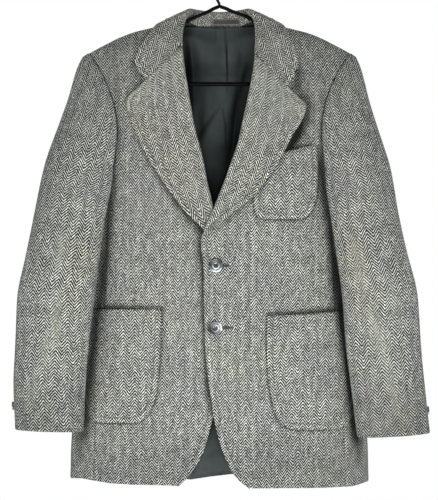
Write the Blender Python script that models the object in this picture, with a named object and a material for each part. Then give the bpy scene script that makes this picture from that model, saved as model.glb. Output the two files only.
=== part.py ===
"""A two-button herringbone tweed jacket with patch pockets, hanging on a slim wire hanger.

Run with blender --background --python part.py, or from Blender's text editor.
Lengths in the tables are millimetres. "Drop" is the distance down from the level of the
front neck, and HOOK_RISE above that level the hook bears on its rail: the part's origin.
The wearer's right is -X, the front is -Y. Every cloth piece is a wall that is laid out on
one body form or on a sleeve form, so neighbouring pieces share their seam lines.
"""

import math

import bpy
import numpy as np

MM = 0.001
HOOK_RISE = 86.0

# ---- cloth ----
TWEED = 2.0
LAPEL_CLOTH = 1.6
LINING_CLOTH = 1.0
LABEL_CLOTH = 0.6
SEAM_INSET = 0.16
LAY_GAP = 0.3

# ---- body form: a flattened tube whose top closes over the shoulder ridge ----
SECTION_POWER = 2.2
SHOULDER_DROP = 100.0
# drop, half_width, front_depth, back_depth
BODY_RINGS = (
    (0.0, 232.0, 64.0, 60.0),
    (150.0, 232.0, 64.0, 60.0),
    (262.0, 234.0, 62.0, 57.0),
    (430.0, 229.0, 54.0, 47.0),
    (600.0, 238.0, 50.0, 44.0),
    (720.0, 248.0, 50.0, 45.0),
    (820.0, 254.0, 50.0, 46.0),
)
# half_span, drop of the shoulder ridge
RIDGE = (
    (0.0, 12.0),
    (40.0, 14.5),
    (66.0, 19.5),
    (106.0, 28.8),
    (128.0, 34.0),
    (150.0, 40.0),
    (170.0, 47.5),
    (195.0, 60.0),
    (221.0, 73.5),
    (240.0, 85.0),
)
# drop, half_width of the seam between front and side panel, and of the one behind
SIDE_SEAMS = (
    (238.0, 173.5, 207.0),
    (280.0, 180.0, 204.0),
    (330.0, 187.0, 201.0),
    (433.0, 191.0, 197.0),
    (540.0, 198.0, 200.0),
    (650.0, 205.0, 206.0),
    (716.0, 210.0, 209.0),
    (820.0, 213.0, 212.0),
)
# drop, half_width of the armhole in front, and behind
ARMHOLE = (
    (73.0, 221.0, 221.0),
    (88.0, 211.0, 214.5),
    (108.0, 198.5, 209.0),
    (138.0, 184.5, 204.0),
    (170.0, 175.0, 202.0),
    (200.0, 171.0, 203.0),
    (215.0, 171.0, 204.0),
    (238.0, 173.5, 207.0),
)
ARMHOLE_SAG = 24.0
# Soft standing folds: side, half_width at top, at bottom, top drop, bottom drop, spread, height
FOLDS = (
    (-1, 150.0, 120.0, 210.0, 520.0, 30.0, 2.6),
    (-1, 110.0, 60.0, 260.0, 640.0, 34.0, -2.0),
    (-1, 190.0, 160.0, 560.0, 860.0, 32.0, 2.8),
    (1, 152.0, 135.0, 230.0, 520.0, 30.0, 2.4),
    (1, 105.0, 70.0, 360.0, 660.0, 34.0, -2.0),
    (1, 192.0, 150.0, 600.0, 860.0, 32.0, 2.8),
)

# ---- rows that the panels share, from the hem up ----
SEAM_ROWS = (806.0, 790.0, 750.0, 702.0, 650.0, 600.0, 540.0, 485.0, 433.0, 385.0, 357.0, 330.0, 280.0, 238.0)
ARMHOLE_ROWS = (215.0, 190.0, 165.0)
RIDGE_ROWS = (80.0, 68.0, 55.0, 42.0, 28.0, 14.0, 0.0)
FRONT_COLUMNS = 11
# Rows run along the shoulder above the first drop, and level below the second
SHOULDER_BEND = (110.0, 240.0)
SIDE_TURNS = (-1.0, -0.72, -0.4, 0.0, 0.4, 0.72, 1.0)
BACK_SHARES = (0.0, 0.1, 0.2, 0.3, 0.44, 0.58, 0.72, 0.86, 1.0)

# ---- front edges below the lapels ----
# drop, x of the edge
EDGE_OVER = (
    (389.0, -31.0),
    (433.0, -27.0),
    (499.0, -26.0),
    (572.0, -24.0),
    (629.0, -18.0),
    (680.0, -10.0),
    (716.0, -4.0),
    (755.0, 10.0),
    (778.0, 23.0),
    (798.0, 36.0),
    (806.0, 49.0),
)
EDGE_UNDER = (
    (389.0, 18.0),
    (499.0, 18.0),
    (572.0, 15.0),
    (629.0, 5.0),
    (665.0, -5.0),
    (680.0, -10.0),
    (705.0, -15.0),
    (744.0, -27.0),
    (771.0, -38.0),
    (791.0, -54.0),
    (806.0, -68.0),
)
# drop, half_width of the panel edge that the collar folds over
NECK_EDGE = ((19.5, 66.0), (35.0, 66.0), (55.0, 66.5))
BACK_NECK_DROP = 20.5
BACK_NECK_SPAN = (12.0, 66.0)
# How far the under front lies behind the over front. drop, depth
LAP_DEPTH = (
    (290.0, 0.0),
    (325.0, 11.0),
    (385.0, 11.0),
    (430.0, 3.4),
    (690.0, 3.4),
    (770.0, 0.5),
    (820.0, 0.0),
)
LAP_NEAR = -80.0
LAP_FULL = -36.0

# ---- lapels ----
TURN_RADIUS = 3.8
TURN_UNDER = 6.0
# roll_x, roll_drop, edge_x, edge_drop: rows from the break up to the gorge
LAPEL_OVER = (
    (-27.0, 375.0, -22.0, 385.0),
    (-22.0, 363.0, -4.0, 365.0),
    (-11.0, 340.0, 22.0, 344.0),
    (0.0, 313.0, 45.0, 327.0),
    (11.0, 284.0, 67.0, 304.0),
    (21.0, 256.0, 88.0, 276.0),
    (31.0, 226.0, 104.0, 248.0),
    (38.0, 194.0, 119.0, 219.0),
    (45.0, 162.0, 134.0, 195.0),
    (52.0, 128.0, 141.0, 180.0),
    (56.0, 104.0, 143.5, 172.0),
    (58.5, 82.5, 144.0, 168.5),
)
LAPEL_UNDER = (
    (-4.0, 354.0, -16.0, 382.0),
    (-11.0, 338.0, -34.0, 366.0),
    (-15.0, 322.0, -58.0, 343.0),
    (-21.0, 297.0, -78.0, 315.0),
    (-27.0, 265.0, -97.0, 287.0),
    (-34.0, 235.0, -116.0, 258.0),
    (-41.0, 210.0, -129.0, 231.0),
    (-47.0, 178.0, -141.0, 204.0),
    (-53.0, 142.0, -150.0, 180.0),
    (-58.0, 112.0, -154.0, 167.0),
    (-61.0, 90.0, -154.5, 161.0),
    (-63.0, 70.5, -155.0, 157.5),
)
LAPEL_ROLL = 3.0
LAPEL_ROLL_PEAK = 0.3
LAPEL_EDGE_OVER = 4.8
LAPEL_EDGE_UNDER = 3.6
STRIP_LIFT_OVER = 0.5
STRIP_LIFT_UNDER = 2.0
TURN_STEPS = (0.0, 0.5, 1.0, 1.2, 1.4, 1.6, 1.8, 2.0)
LEAF_STEPS = (2.1, 2.25, 2.42, 2.6, 2.8, 3.0)

# ---- collar: half stations from the gorge round to the centre back ----
# fold_x, fold_y, fold_drop, edge_x, edge_y, edge_drop, stand_x, stand_y, stand_drop
# A fold_y or edge_y of None is taken from the front panel under it.
COLLAR_HALF = (
    (66.5, None, 68.5, 141.0, None, 97.5, 0.0, None, 0.0),
    (66.8, None, 57.0, 140.0, None, 88.0, 0.0, None, 0.0),
    (66.5, None, 45.0, 133.0, None, 72.0, 0.0, None, 0.0),
    (65.5, None, 34.0, 125.0, None, 57.0, 0.0, None, 0.0),
    (62.0, -22.0, 20.0, 116.0, -34.0, 42.0, 66.0, -20.0, 30.0),
    (57.0, -12.0, 9.0, 110.0, -20.0, 32.0, 65.0, -8.0, 21.0),
    (51.5, 0.0, 3.0, 106.0, 0.0, 26.0, 62.0, 3.0, 17.5),
    (45.0, 12.0, 1.5, 97.0, 21.0, 30.0, 53.0, 11.0, 18.5),
    (33.0, 24.0, 1.5, 76.0, 38.0, 39.0, 39.0, 21.0, 23.0),
    (17.0, 33.0, 1.5, 43.0, 48.0, 48.0, 20.0, 29.0, 28.0),
    (0.0, 37.0, 1.5, 0.0, 52.5, 52.0, 0.0, 32.5, 30.5),
)
COLLAR_NOTCH_RIGHT = (-123.0, 124.8)
COLLAR_TIP_RIGHT = (-141.0, 97.5)
COLLAR_NOTCH_LEFT = (112.0, 135.2)
COLLAR_TIP_LEFT = (129.0, 108.0)
COLLAR_GORGE_RIGHT = (-63.5, 69.2)
COLLAR_GORGE_LEFT = (59.0, 81.2)
# Number of collar rows that lie on the fronts
NECK_ROWS = 4
NOTCH_STEP = 2.8
COLLAR_STATIONS = 19
# Share of the collar's length that each notch end takes
NOTCH_ROWS = 0.085
COLLAR_CLEAR = 3.0
COLLAR_EDGE_CLEAR = 3.6
# Depth of the hollow between the collar's fold and its edge, as shares of the leaf
COLLAR_HOLLOW = 0.20
COLLAR_DIP = 0.08

# ---- pockets: edges of the patch. drop, inner_x, outer_x ----
POCKET_HIP_RIGHT = (
    (697.0, -150.0, -196.0),
    (694.0, -132.0, -212.0),
    (680.0, -117.5, -224.0),
    (658.0, -108.0, -230.0),
    (634.0, -103.0, -231.0),
    (590.0, -100.0, -229.0),
    (548.0, -98.0, -226.0),
    (506.5, -97.0, -222.0),
)
POCKET_HIP_LEFT = (
    (708.0, 132.0, 190.0),
    (704.5, 113.0, 206.0),
    (690.0, 97.5, 220.0),
    (665.0, 89.0, 228.0),
    (640.0, 84.0, 230.0),
    (600.0, 80.0, 229.0),
    (560.0, 79.0, 226.0),
    (518.0, 80.0, 222.0),
)
POCKET_BREAST = (
    (356.0, 76.0, 128.0),
    (353.0, 66.0, 143.0),
    (344.0, 59.5, 153.0),
    (329.0, 57.0, 160.0),
    (300.0, 57.0, 163.5),
    (272.0, 57.0, 164.0),
    (237.0, 57.0, 162.0),
)
POCKET_TOP_SLANT_LEFT = -9.0
POCKET_TOP_SLANT_BREAST = -12.0
POCKET_CLOTH = 1.8
POCKET_MOUTH_LIFT = 0.9
POCKET_SEAT = 0.55
POCKET_EASE = 1.0
POCKET_SHARES = (0.0, 0.15, 0.3, 0.44, 0.57, 0.69, 0.79, 0.87, 0.94, 1.0)

# ---- sleeves ----
# drop, centre_x, half_span, centre_y, half_depth, yaw, lean
SLEEVE_RIGHT = (
    (285.0, 237.0, 62.0, -31.0, 50.0, 20.0, 18.0),
    (350.0, 250.5, 62.0, -45.0, 49.0, 16.0, 10.0),
    (420.0, 262.0, 62.5, -57.0, 46.0, 11.0, 5.0),
    (490.0, 272.5, 65.0, -62.0, 44.0, 8.0, 2.0),
    (560.0, 278.0, 62.0, -63.0, 42.0, 5.0, 0.0),
    (630.0, 282.5, 60.5, -62.0, 39.0, 4.0, 0.0),
    (707.0, 283.0, 57.5, -60.0, 35.0, 4.0, 0.0),
)
SLEEVE_LEFT = (
    (285.0, 232.0, 59.0, -32.0, 50.0, 20.0, 18.0),
    (350.0, 243.5, 60.0, -46.0, 49.0, 16.0, 10.0),
    (420.0, 255.5, 60.5, -58.0, 46.0, 11.0, 5.0),
    (490.0, 267.0, 63.5, -64.0, 44.0, 8.0, 2.0),
    (560.0, 272.0, 63.0, -65.0, 42.0, 5.0, 0.0),
    (630.0, 279.5, 62.0, -64.0, 39.0, 4.0, 0.0),
    (714.0, 289.5, 61.0, -62.0, 36.0, 4.0, 0.0),
)
# Angle round the sleeve of each armhole point, from the shoulder down the front
SLEEVE_ANGLES = (
    0, 12, 25, 39, 54, 71, 89, 108, 128, 150, 176, 203, 230,
    254, 276, 290, 297, 303, 309, 315, 321, 328, 335, 341, 347, 354,
)
# Share of the body's side line that each of those points follows under the arm
SLEEVE_HUG = (0.0,) * 11 + (0.5, 0.95, 1.0, 0.75) + (0.0,) * 11
SLEEVE_SEAM_FRONT = 12
SLEEVE_SEAM_BACK = 20
# Distance down the sleeve of the form's rings: armhole, crown, cap, then the table's rings
SLEEVE_KNOTS = (0.0, 13.0, 88.0, 185.0, 252.0, 322.0, 392.0, 462.0, 532.0, 610.0)
SLEEVE_STATIONS = (0.0, 13.0, 42.0, 88.0, 135.0, 185.0, 232.0, 280.0, 335.0, 392.0, 455.0, 532.0, 610.0)
CROWN_BLEND = 0.07
CROWN_LIFT = 8.0
CAP_BLEND = 0.45
CAP_LIFT = 5.0
CAP_FOOT = 262.0
CAP_HEIGHT = 190.0
SEAM_MITRE = 0.6
# How far that holds at each ring of the sleeve tables
HUG_SHARES = (1.0, 0.75, 0.35, 0.0, 0.0, 0.0, 0.0)
HUG_EASE = 5.0
HUG_LOWER = 8.0
OPENING_CENTRE = (260.0, 0.0, 165.0)
CROWN_CENTRE = (150.0, 0.0, 165.0)
SLEEVE_CLEAR = 3.2
SLEEVE_CLEAR_POCKET = 7.0
POCKET_LEVEL = (430.0, 500.0)
# Clearance beside the seam, and the run over which it grows to the full one
SEAM_CLEAR = 0.8
CLEAR_RUN = 60.0

# ---- lining and label ----
LINING_GAP = 0.5
# Along the collar from the right gorge, and up its stand
LABEL_SPAN = (0.469, 0.600)
LABEL_HEIGHT = (0.22, 0.72)

# ---- buttons ----
FRONT_BUTTONS = (("button_top", -6.0, 433.0), ("button_bottom", -7.0, 538.0))
BUTTON_SEAT = 0.6
# radius, height, as a share of the button's radius
BUTTON_PROFILE = (
    (0.80, 0.0),
    (0.98, 0.08),
    (1.0, 0.2),
    (0.93, 0.31),
    (0.80, 0.30),
    (0.66, 0.20),
    (0.52, 0.21),
    (0.46, 0.27),
    (0.38, 0.21),
)
BUTTON_RADIUS = 11.6
CUFF_BUTTON_RADIUS = 7.5
BUTTON_HOLE_RING = 0.20
BUTTON_HOLE_RADIUS = 0.085
BUTTON_SEGMENTS = 20
HOLE_SEGMENTS = 8
HOLE_ENDS = (-1.0, 6.0)
CUFF_BUTTON_RISE = 42.0

# ---- hanger ----
HANGER_APEX_DROP = -3.2
HANGER_SLOPE = 24.5
HANGER_BEND = 62.0
HANGER_SLOPE_OUT = 16.25
HANGER_WIRE = 2.8
APEX_FLAT = 3.0
ARM_REACH = 187.0
ARM_STEPS = 9
# out from the arm's reach, down from its drop there: the rounded shoulder of the wire
ARM_END = ((6.0, 4.5), (11.0, 11.0), (14.0, 21.0), (10.5, 29.5), (4.0, 36.0))
ARM_FOOT = 186.0
ARM_FOOT_RISES = (5.0, 0.3)
BAR_DROP = 126.0
BAR_WIRE = 2.4
BAR_HALF = 189.0
HOOK_WIRE = 2.25
HOOK_INNER = 20.0
HOOK_END_ANGLE = 205.0
HOOK_STEPS = 19
# share of the way up the stem, share of its lean
HOOK_STEM = ((0.0, 0.0), (0.06, 0.0), (0.3, 0.95), (0.65, 1.0))
WIRE_SIDES = 10
JOINT_GAP = 0.1
FOOT_GAP = 0.3

SLOTS = {
    # name: colour, roughness, metallic
    "tweed": ((0.235, 0.240, 0.215, 1.0), 0.95, 0.0),
    "lining": ((0.060, 0.074, 0.071, 1.0), 0.45, 0.0),
    "label": ((0.020, 0.022, 0.022, 1.0), 0.70, 0.0),
    "button": ((0.085, 0.095, 0.100, 1.0), 0.20, 0.0),
    "hanger": ((0.012, 0.012, 0.012, 1.0), 0.40, 0.0),
}


# ---------------------------------------------------------------- curves and vectors
def smooth_curve(table, column):
    """Returns a smooth function of a table's first column that never overshoots its rows."""
    rows = sorted((row[0], row[column]) for row in table)
    keys = np.array([row[0] for row in rows], dtype=float)
    values = np.array([row[1] for row in rows], dtype=float)
    steps = np.diff(keys)
    slopes = np.diff(values) / steps
    tangents = np.zeros_like(keys)
    tangents[0] = slopes[0]
    tangents[-1] = slopes[-1]
    for k in range(1, len(keys) - 1):
        if slopes[k - 1] * slopes[k] > 0.0:
            left = 2.0 * steps[k] + steps[k - 1]
            right = steps[k] + 2.0 * steps[k - 1]
            tangents[k] = (left + right) / (left / slopes[k - 1] + right / slopes[k])

    def value(key):
        key = np.clip(np.asarray(key, dtype=float), keys[0], keys[-1])
        k = np.clip(np.searchsorted(keys, key, side="right") - 1, 0, len(steps) - 1)
        t = (key - keys[k]) / steps[k]
        start = values[k] * (1.0 + 2.0 * t) * (1.0 - t) ** 2 + tangents[k] * steps[k] * t * (1.0 - t) ** 2
        end = values[k + 1] * t * t * (3.0 - 2.0 * t) + tangents[k + 1] * steps[k] * t * t * (t - 1.0)
        return start + end

    return value


def unit(vectors):
    """Scales vectors along the last axis to length one."""
    vectors = np.asarray(vectors, dtype=float)
    length = np.linalg.norm(vectors, axis=-1, keepdims=True)
    return vectors / np.maximum(length, 1e-9)


def ramp(value, low, high):
    """Smooth step from 0 at low to 1 at high."""
    t = np.clip((value - low) / (high - low), 0.0, 1.0)
    return t * t * (3.0 - 2.0 * t)


def place(x, y, drop):
    """Millimetres from x, y and drop to part coordinates, as one array."""
    return np.stack(np.broadcast_arrays(x, y, -(np.asarray(drop) + HOOK_RISE)), axis=-1).astype(float)


# ---------------------------------------------------------------- body form
ridge_drop = smooth_curve(RIDGE, 1)
half_width = smooth_curve(BODY_RINGS, 1)
front_depth = smooth_curve(BODY_RINGS, 2)
back_depth = smooth_curve(BODY_RINGS, 3)
seam_front = smooth_curve(SIDE_SEAMS, 1)
seam_back = smooth_curve(SIDE_SEAMS, 2)
arm_front = smooth_curve(ARMHOLE, 1)
arm_back = smooth_curve(ARMHOLE, 2)
lap_depth = smooth_curve(LAP_DEPTH, 1)


def depth_squared(x, drop, face):
    """Square of the body form's depth at a point seen from the front (face -1) or back (+1)."""
    width = np.abs(x) / half_width(drop)
    across = np.maximum(1.0 - np.minimum(width, 1.0) ** SECTION_POWER, 0.0) ** (2.0 / SECTION_POWER)
    down = np.minimum((drop - ridge_drop(np.abs(x))) / SHOULDER_DROP, 1.0)
    depth = np.where(np.asarray(face) < 0, front_depth(drop), back_depth(drop))
    return depth * depth * across * down * (2.0 - down)


def fold_height(x, drop, face):
    """Height of the soft standing folds, front and back alike in kind."""
    total = np.zeros(np.broadcast(x, drop).shape)
    for side, x_top, x_low, top, low, spread, height in FOLDS:
        share = (drop - top) / (low - top)
        middle = side * (x_top + (x_low - x_top) * share)
        window = ramp(share, 0.0, 0.3) * (1.0 - ramp(share, 0.7, 1.0))
        behind = np.where(np.asarray(face) < 0, 1.0, -0.8)
        total = total + behind * height * window * np.exp(-(((x - middle) / spread) ** 2))
    return total


def body_normal(x, drop, face):
    """Outward normal of the body form."""
    step = 0.5
    depth = face * np.sqrt(np.maximum(depth_squared(x, drop, face), 0.0))
    along_x = (depth_squared(x + step, drop, face) - depth_squared(x - step, drop, face)) / (2.0 * step)
    along_drop = (depth_squared(x, drop + step, face) - depth_squared(x, drop - step, face)) / (2.0 * step)
    return unit(np.stack(np.broadcast_arrays(-along_x, 2.0 * depth, along_drop), axis=-1))


def lap_depth_at(x, drop):
    """How far the under front sinks behind the over front."""
    return lap_depth(drop) * ramp(x, LAP_NEAR, LAP_FULL)


def on_body(x, drop, face, off=0.0, under=False):
    """Point on the body form, raised by off along its normal."""
    x = np.asarray(x, dtype=float)
    drop = np.asarray(drop, dtype=float)
    depth = face * np.sqrt(np.maximum(depth_squared(x, drop, face), 0.0))
    lift = np.asarray(off, dtype=float) + fold_height(x, drop, face)
    if under:
        lift = lift - lap_depth_at(x, drop)
    return place(x, depth, drop) + body_normal(x, drop, face) * lift[..., None]


def clear_of_body(points, clearance):
    """Moves points that lie in or too near the body form out of it, along its normals."""
    points = np.array(points, dtype=float)
    for _ in range(5):
        x = points[..., 0]
        y = points[..., 1]
        drop = -points[..., 2] - HOOK_RISE
        face = np.where(y < 0.0, -1.0, 1.0)
        width = half_width(drop)
        depth = np.where(face < 0, front_depth(drop), back_depth(drop))
        down = np.clip((drop - ridge_drop(np.abs(x))) / SHOULDER_DROP, 1e-4, 1.0)
        depth = depth * np.sqrt(down * (2.0 - down))
        across = np.abs(x / width)
        through = np.abs(y / depth)
        size = np.maximum((across**SECTION_POWER + through**SECTION_POWER) ** (1.0 / SECTION_POWER), 1e-6)
        slope_x = (across / size) ** (SECTION_POWER - 1.0) * np.sign(x) / width
        slope_y = (through / size) ** (SECTION_POWER - 1.0) * face / depth
        slope = np.maximum(np.hypot(slope_x, slope_y), 1e-6)
        away = (size - 1.0) / slope
        push = np.maximum(clearance - away, 0.0)
        points[..., 0] += push * slope_x / slope
        points[..., 1] += push * slope_y / slope
    return points


# ---------------------------------------------------------------- sheets
def grid_normals(points, wrap=False):
    """Unit normals of a grid of points, rows by columns."""
    down = np.gradient(points, axis=0)
    if wrap:
        along = np.roll(points, -1, axis=1) - np.roll(points, 1, axis=1)
    else:
        along = np.gradient(points, axis=1)
    return unit(np.cross(along, down))


def inset(outer, inner, sides):
    """Draws the named borders of a sheet in by SEAM_INSET, square to each border."""
    outer = outer.copy()
    inner = inner.copy()
    borders = {
        "first_row": (np.s_[0, :], np.s_[1, :]),
        "last_row": (np.s_[-1, :], np.s_[-2, :]),
        "first_column": (np.s_[:, 0], np.s_[:, 1]),
        "last_column": (np.s_[:, -1], np.s_[:, -2]),
    }
    moves = []
    for side in sides:
        edge, beside = borders[side]
        along = unit(np.gradient(outer[edge], axis=0))
        across = outer[beside] - outer[edge]
        across = across - np.sum(across * along, axis=-1, keepdims=True) * along
        moves.append((edge, unit(across) * SEAM_INSET))
    for edge, move in moves:
        outer[edge] += move
        inner[edge] += move
    return outer, inner


def make_material(slot):
    """Principled material of one slot."""
    name = "mat_" + slot
    if name in bpy.data.materials:
        return bpy.data.materials[name]
    colour, roughness, metallic = SLOTS[slot]
    material = bpy.data.materials.new(name)
    material.use_nodes = True
    shader = material.node_tree.nodes["Principled BSDF"]
    shader.inputs["Base Color"].default_value = colour
    shader.inputs["Roughness"].default_value = roughness
    shader.inputs["Metallic"].default_value = metallic
    material.diffuse_color = colour
    return material


def add_object(name, vertices, faces, slot, smooth=True):
    """Adds a mesh object whose faces look outward. Vertices are in millimetres."""
    vertices = np.asarray(vertices, dtype=float)
    volume = 0.0
    for face in faces:
        for k in range(1, len(face) - 1):
            a, b, c = vertices[face[0]], vertices[face[k]], vertices[face[k + 1]]
            volume += float(np.dot(a, np.cross(b, c)))
    if volume < 0.0:
        faces = [tuple(reversed(face)) for face in faces]
    mesh = bpy.data.meshes.new(name)
    mesh.from_pydata([tuple(v) for v in vertices * MM], [], faces)
    mesh.validate()
    mesh.update()
    for polygon in mesh.polygons:
        polygon.use_smooth = smooth
    item = bpy.data.objects.new(name, mesh)
    item.data.materials.append(make_material(slot))
    bpy.context.scene.collection.objects.link(item)
    return item


def add_wall(name, outer, inner, slot, guide=None):
    """Adds a closed wall between two grids of points.

    Both faces are split along the shorter diagonals of the guide grid, which sheets that lie on
    each other share.
    """
    rows, columns = outer.shape[:2]
    count = rows * columns
    guide = outer if guide is None else guide
    falling = np.linalg.norm(guide[1:, 1:] - guide[:-1, :-1], axis=-1)
    rising = np.linalg.norm(guide[1:, :-1] - guide[:-1, 1:], axis=-1)

    def corner(r, c, layer):
        return layer * count + r * columns + c

    faces = []
    for r in range(rows - 1):
        for c in range(columns - 1):
            for layer in (0, 1):
                ring = [corner(r, c, layer), corner(r, c + 1, layer)]
                ring += [corner(r + 1, c + 1, layer), corner(r + 1, c, layer)]
                if rising[r, c] < falling[r, c]:
                    ring = ring[1:] + ring[:1]
                if layer == 1:
                    ring = [ring[0], ring[3], ring[2], ring[1]]
                faces.append((ring[0], ring[1], ring[2]))
                faces.append((ring[0], ring[2], ring[3]))
    for r in range(rows - 1):
        faces.append((corner(r, 0, 0), corner(r + 1, 0, 0), corner(r + 1, 0, 1), corner(r, 0, 1)))
        last = columns - 1
        faces.append((corner(r, last, 0), corner(r, last, 1), corner(r + 1, last, 1), corner(r + 1, last, 0)))
    for c in range(columns - 1):
        faces.append((corner(0, c, 0), corner(0, c, 1), corner(0, c + 1, 1), corner(0, c + 1, 0)))
        last = rows - 1
        faces.append((corner(last, c, 0), corner(last, c + 1, 0), corner(last, c + 1, 1), corner(last, c, 1)))
    vertices = np.concatenate([outer.reshape(-1, 3), inner.reshape(-1, 3)])
    return add_object(name, vertices, faces, slot)


def surface_wall(name, surface, rows, columns, thickness, slot, sides=()):
    """Adds a wall under surface(row, column), which gives points; its normals face the viewer."""
    step = 0.002
    row_grid, column_grid = np.meshgrid(rows, columns, indexing="ij")
    outer = surface(row_grid, column_grid)
    along = surface(row_grid, column_grid + step) - surface(row_grid, column_grid - step)
    down = surface(row_grid + step, column_grid) - surface(row_grid - step, column_grid)
    normals = unit(np.cross(along, down))
    outer, inner = inset(outer, outer - normals * thickness, sides)
    return add_wall(name, outer, inner, slot)


# ---------------------------------------------------------------- panel edges
def shoulder_row(x_of_drop, start_x, angle):
    """x and drop of an edge at an angle down from the shoulder ridge."""
    x = start_x
    drop = 0.0
    for _ in range(12):
        drop = float(ridge_drop(abs(x))) + SHOULDER_DROP * (1.0 - math.cos(math.radians(angle)))
        x = float(x_of_drop(drop))
    return x, drop


def edge_rows(x_of_drop, start_x):
    """An edge's points from the hem to the ridge, on the rows that all panels share."""
    points = [(float(x_of_drop(drop)), drop) for drop in SEAM_ROWS + ARMHOLE_ROWS]
    points += [shoulder_row(x_of_drop, start_x, angle) for angle in RIDGE_ROWS]
    return np.array(points)


def outer_edge(face):
    """Side seam and armhole of a front or back panel."""
    seam, arm = (seam_front, arm_front) if face < 0 else (seam_back, arm_back)
    return edge_rows(lambda drop: seam(drop) if drop >= SEAM_ROWS[-1] else arm(drop), ARMHOLE[0][1])


def lapel_fold(table):
    """Where the front panel ends under the lapel's roll: x and drop."""
    rows = np.array(table)
    across = unit(rows[:, 2:4] - rows[:, 0:2])
    return rows[:, 0:2] + across * TURN_RADIUS


def front_edge(side):
    """Neck, roll and cutaway edge of the front on one side: x against drop."""
    lapel, edge = (LAPEL_UNDER, EDGE_UNDER) if side < 0 else (LAPEL_OVER, EDGE_OVER)
    rows = [(drop, side * half) for drop, half in NECK_EDGE]
    rows += [(drop, x) for x, drop in lapel_fold(lapel)]
    rows += [row for row in edge]
    return smooth_curve(rows, 1)


def panel_chart(inner, outer, columns):
    """x and drop of a panel's grid, straight below and bent along the shoulder on top."""
    shares = np.linspace(0.0, 1.0, columns)
    x = inner[:, :1] + (outer[:, :1] - inner[:, :1]) * shares
    level = inner[:, 1:] + (outer[:, 1:] - inner[:, 1:]) * shares
    below_inner = inner[:, 1:] - ridge_drop(np.abs(inner[:, :1]))
    below_outer = outer[:, 1:] - ridge_drop(np.abs(outer[:, :1]))
    below = ridge_drop(np.abs(x)) + below_inner + (below_outer - below_inner) * shares
    bend = 1.0 - ramp(outer[:, 1:], *SHOULDER_BEND)
    return x, level + (below - level) * bend


# ---------------------------------------------------------------- pieces
def add_front(name, side):
    inner = edge_rows(front_edge(side), side * NECK_EDGE[0][1])
    outer = outer_edge(-1) * (side, 1.0)
    x, drop = panel_chart(inner, outer, FRONT_COLUMNS)
    under = side < 0
    points = on_body(x, drop, -1, 0.0, under)
    normals = body_normal(x, drop, -1)
    walls = inset(points, points - normals * TWEED, ("last_row", "last_column"))
    add_wall(name, *walls, "tweed")


def back_neck(x):
    """Drop of the back neck seam, below the ridge."""
    return BACK_NECK_DROP * (1.0 - ramp(np.abs(x), *BACK_NECK_SPAN))


def back_grid(side):
    """x and drop of a back panel's grid: rows up from the hem, columns out from the centre."""
    outer = outer_edge(1) * (side, 1.0)
    inner = np.zeros_like(outer)
    inner[:, 1] = outer[:, 1]
    ridge_start = len(SEAM_ROWS) + len(ARMHOLE_ROWS)
    neck_drop = float(ridge_drop(0.0) + back_neck(0.0))
    inner[ridge_start:, 1] = np.linspace(ARMHOLE_ROWS[-1], neck_drop, len(RIDGE_ROWS) + 1)[1:]
    shares = np.array(BACK_SHARES)
    x = inner[:, :1] + (outer[:, :1] - inner[:, :1]) * shares
    level = inner[:, 1:] + (outer[:, 1:] - inner[:, 1:]) * shares
    top = ridge_drop(np.abs(x[-1])) + back_neck(x[-1])
    weight = ramp(np.arange(len(outer)), ridge_start - 3.0, len(outer) - 1.0)[:, None]
    drop = level + weight * (top - level[-1])
    least = ridge_drop(np.abs(x)) + back_neck(x)
    row_below = 0.8 * np.arange(len(outer))[::-1, None]
    return x, np.maximum(drop, least + row_below)


def add_back(name, side):
    x, drop = back_grid(side)
    points = on_body(x, drop, 1)
    normals = body_normal(x, drop, 1)
    walls = inset(points, points - normals * TWEED, ("last_row", "first_column", "last_column"))
    add_wall(name, *walls, "tweed", points)


def side_chart(drop, turn):
    """Point and normal of the side panel at a drop; turn runs -1 at the front seam to +1 behind."""
    width = half_width(drop)
    reach_front = np.arccos((seam_front(drop) / width) ** (SECTION_POWER / 2.0))
    reach_back = np.arccos((seam_back(drop) / width) ** (SECTION_POWER / 2.0))
    angle = np.where(turn < 0.0, turn * reach_front, turn * reach_back)
    depth = np.where(turn < 0.0, front_depth(drop), back_depth(drop))
    x = width * np.cos(angle) ** (2.0 / SECTION_POWER)
    y = depth * np.sign(angle) * np.abs(np.sin(angle)) ** (2.0 / SECTION_POWER)
    return x, y


def side_grid(side, drops, turns):
    """Grid of the side panel: rows up from the hem, columns from front to back."""
    drop, turn = np.meshgrid(drops, turns, indexing="ij")
    top = SEAM_ROWS[-1]
    sag = ARMHOLE_SAG * np.cos(turn * math.pi / 2.0) * (1.0 - ramp(drop, top, 385.0))
    drop = drop + sag
    x, y = side_chart(drop, turn)
    face = np.where(turn < 0.0, -1.0, 1.0)
    lift = fold_height(side * x, drop, face) * ramp(np.abs(turn), 0.4, 1.0)
    power = SECTION_POWER - 1.0
    width = half_width(drop)
    depth = np.where(turn < 0.0, front_depth(drop), back_depth(drop))
    slope_x = (x / width) ** power / width
    slope_y = np.sign(y) * (np.abs(y) / depth) ** power / depth
    normals = unit(np.stack([side * slope_x, slope_y, 0.0 * x], axis=-1))
    return place(side * x, y, drop) + normals * lift[..., None], normals


def add_side(name, side):
    points, normals = side_grid(side, np.array(SEAM_ROWS), np.array(SIDE_TURNS))
    walls = inset(points, points - normals * TWEED, ("last_row", "first_column", "last_column"))
    add_wall(name, *walls, "tweed")


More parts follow.
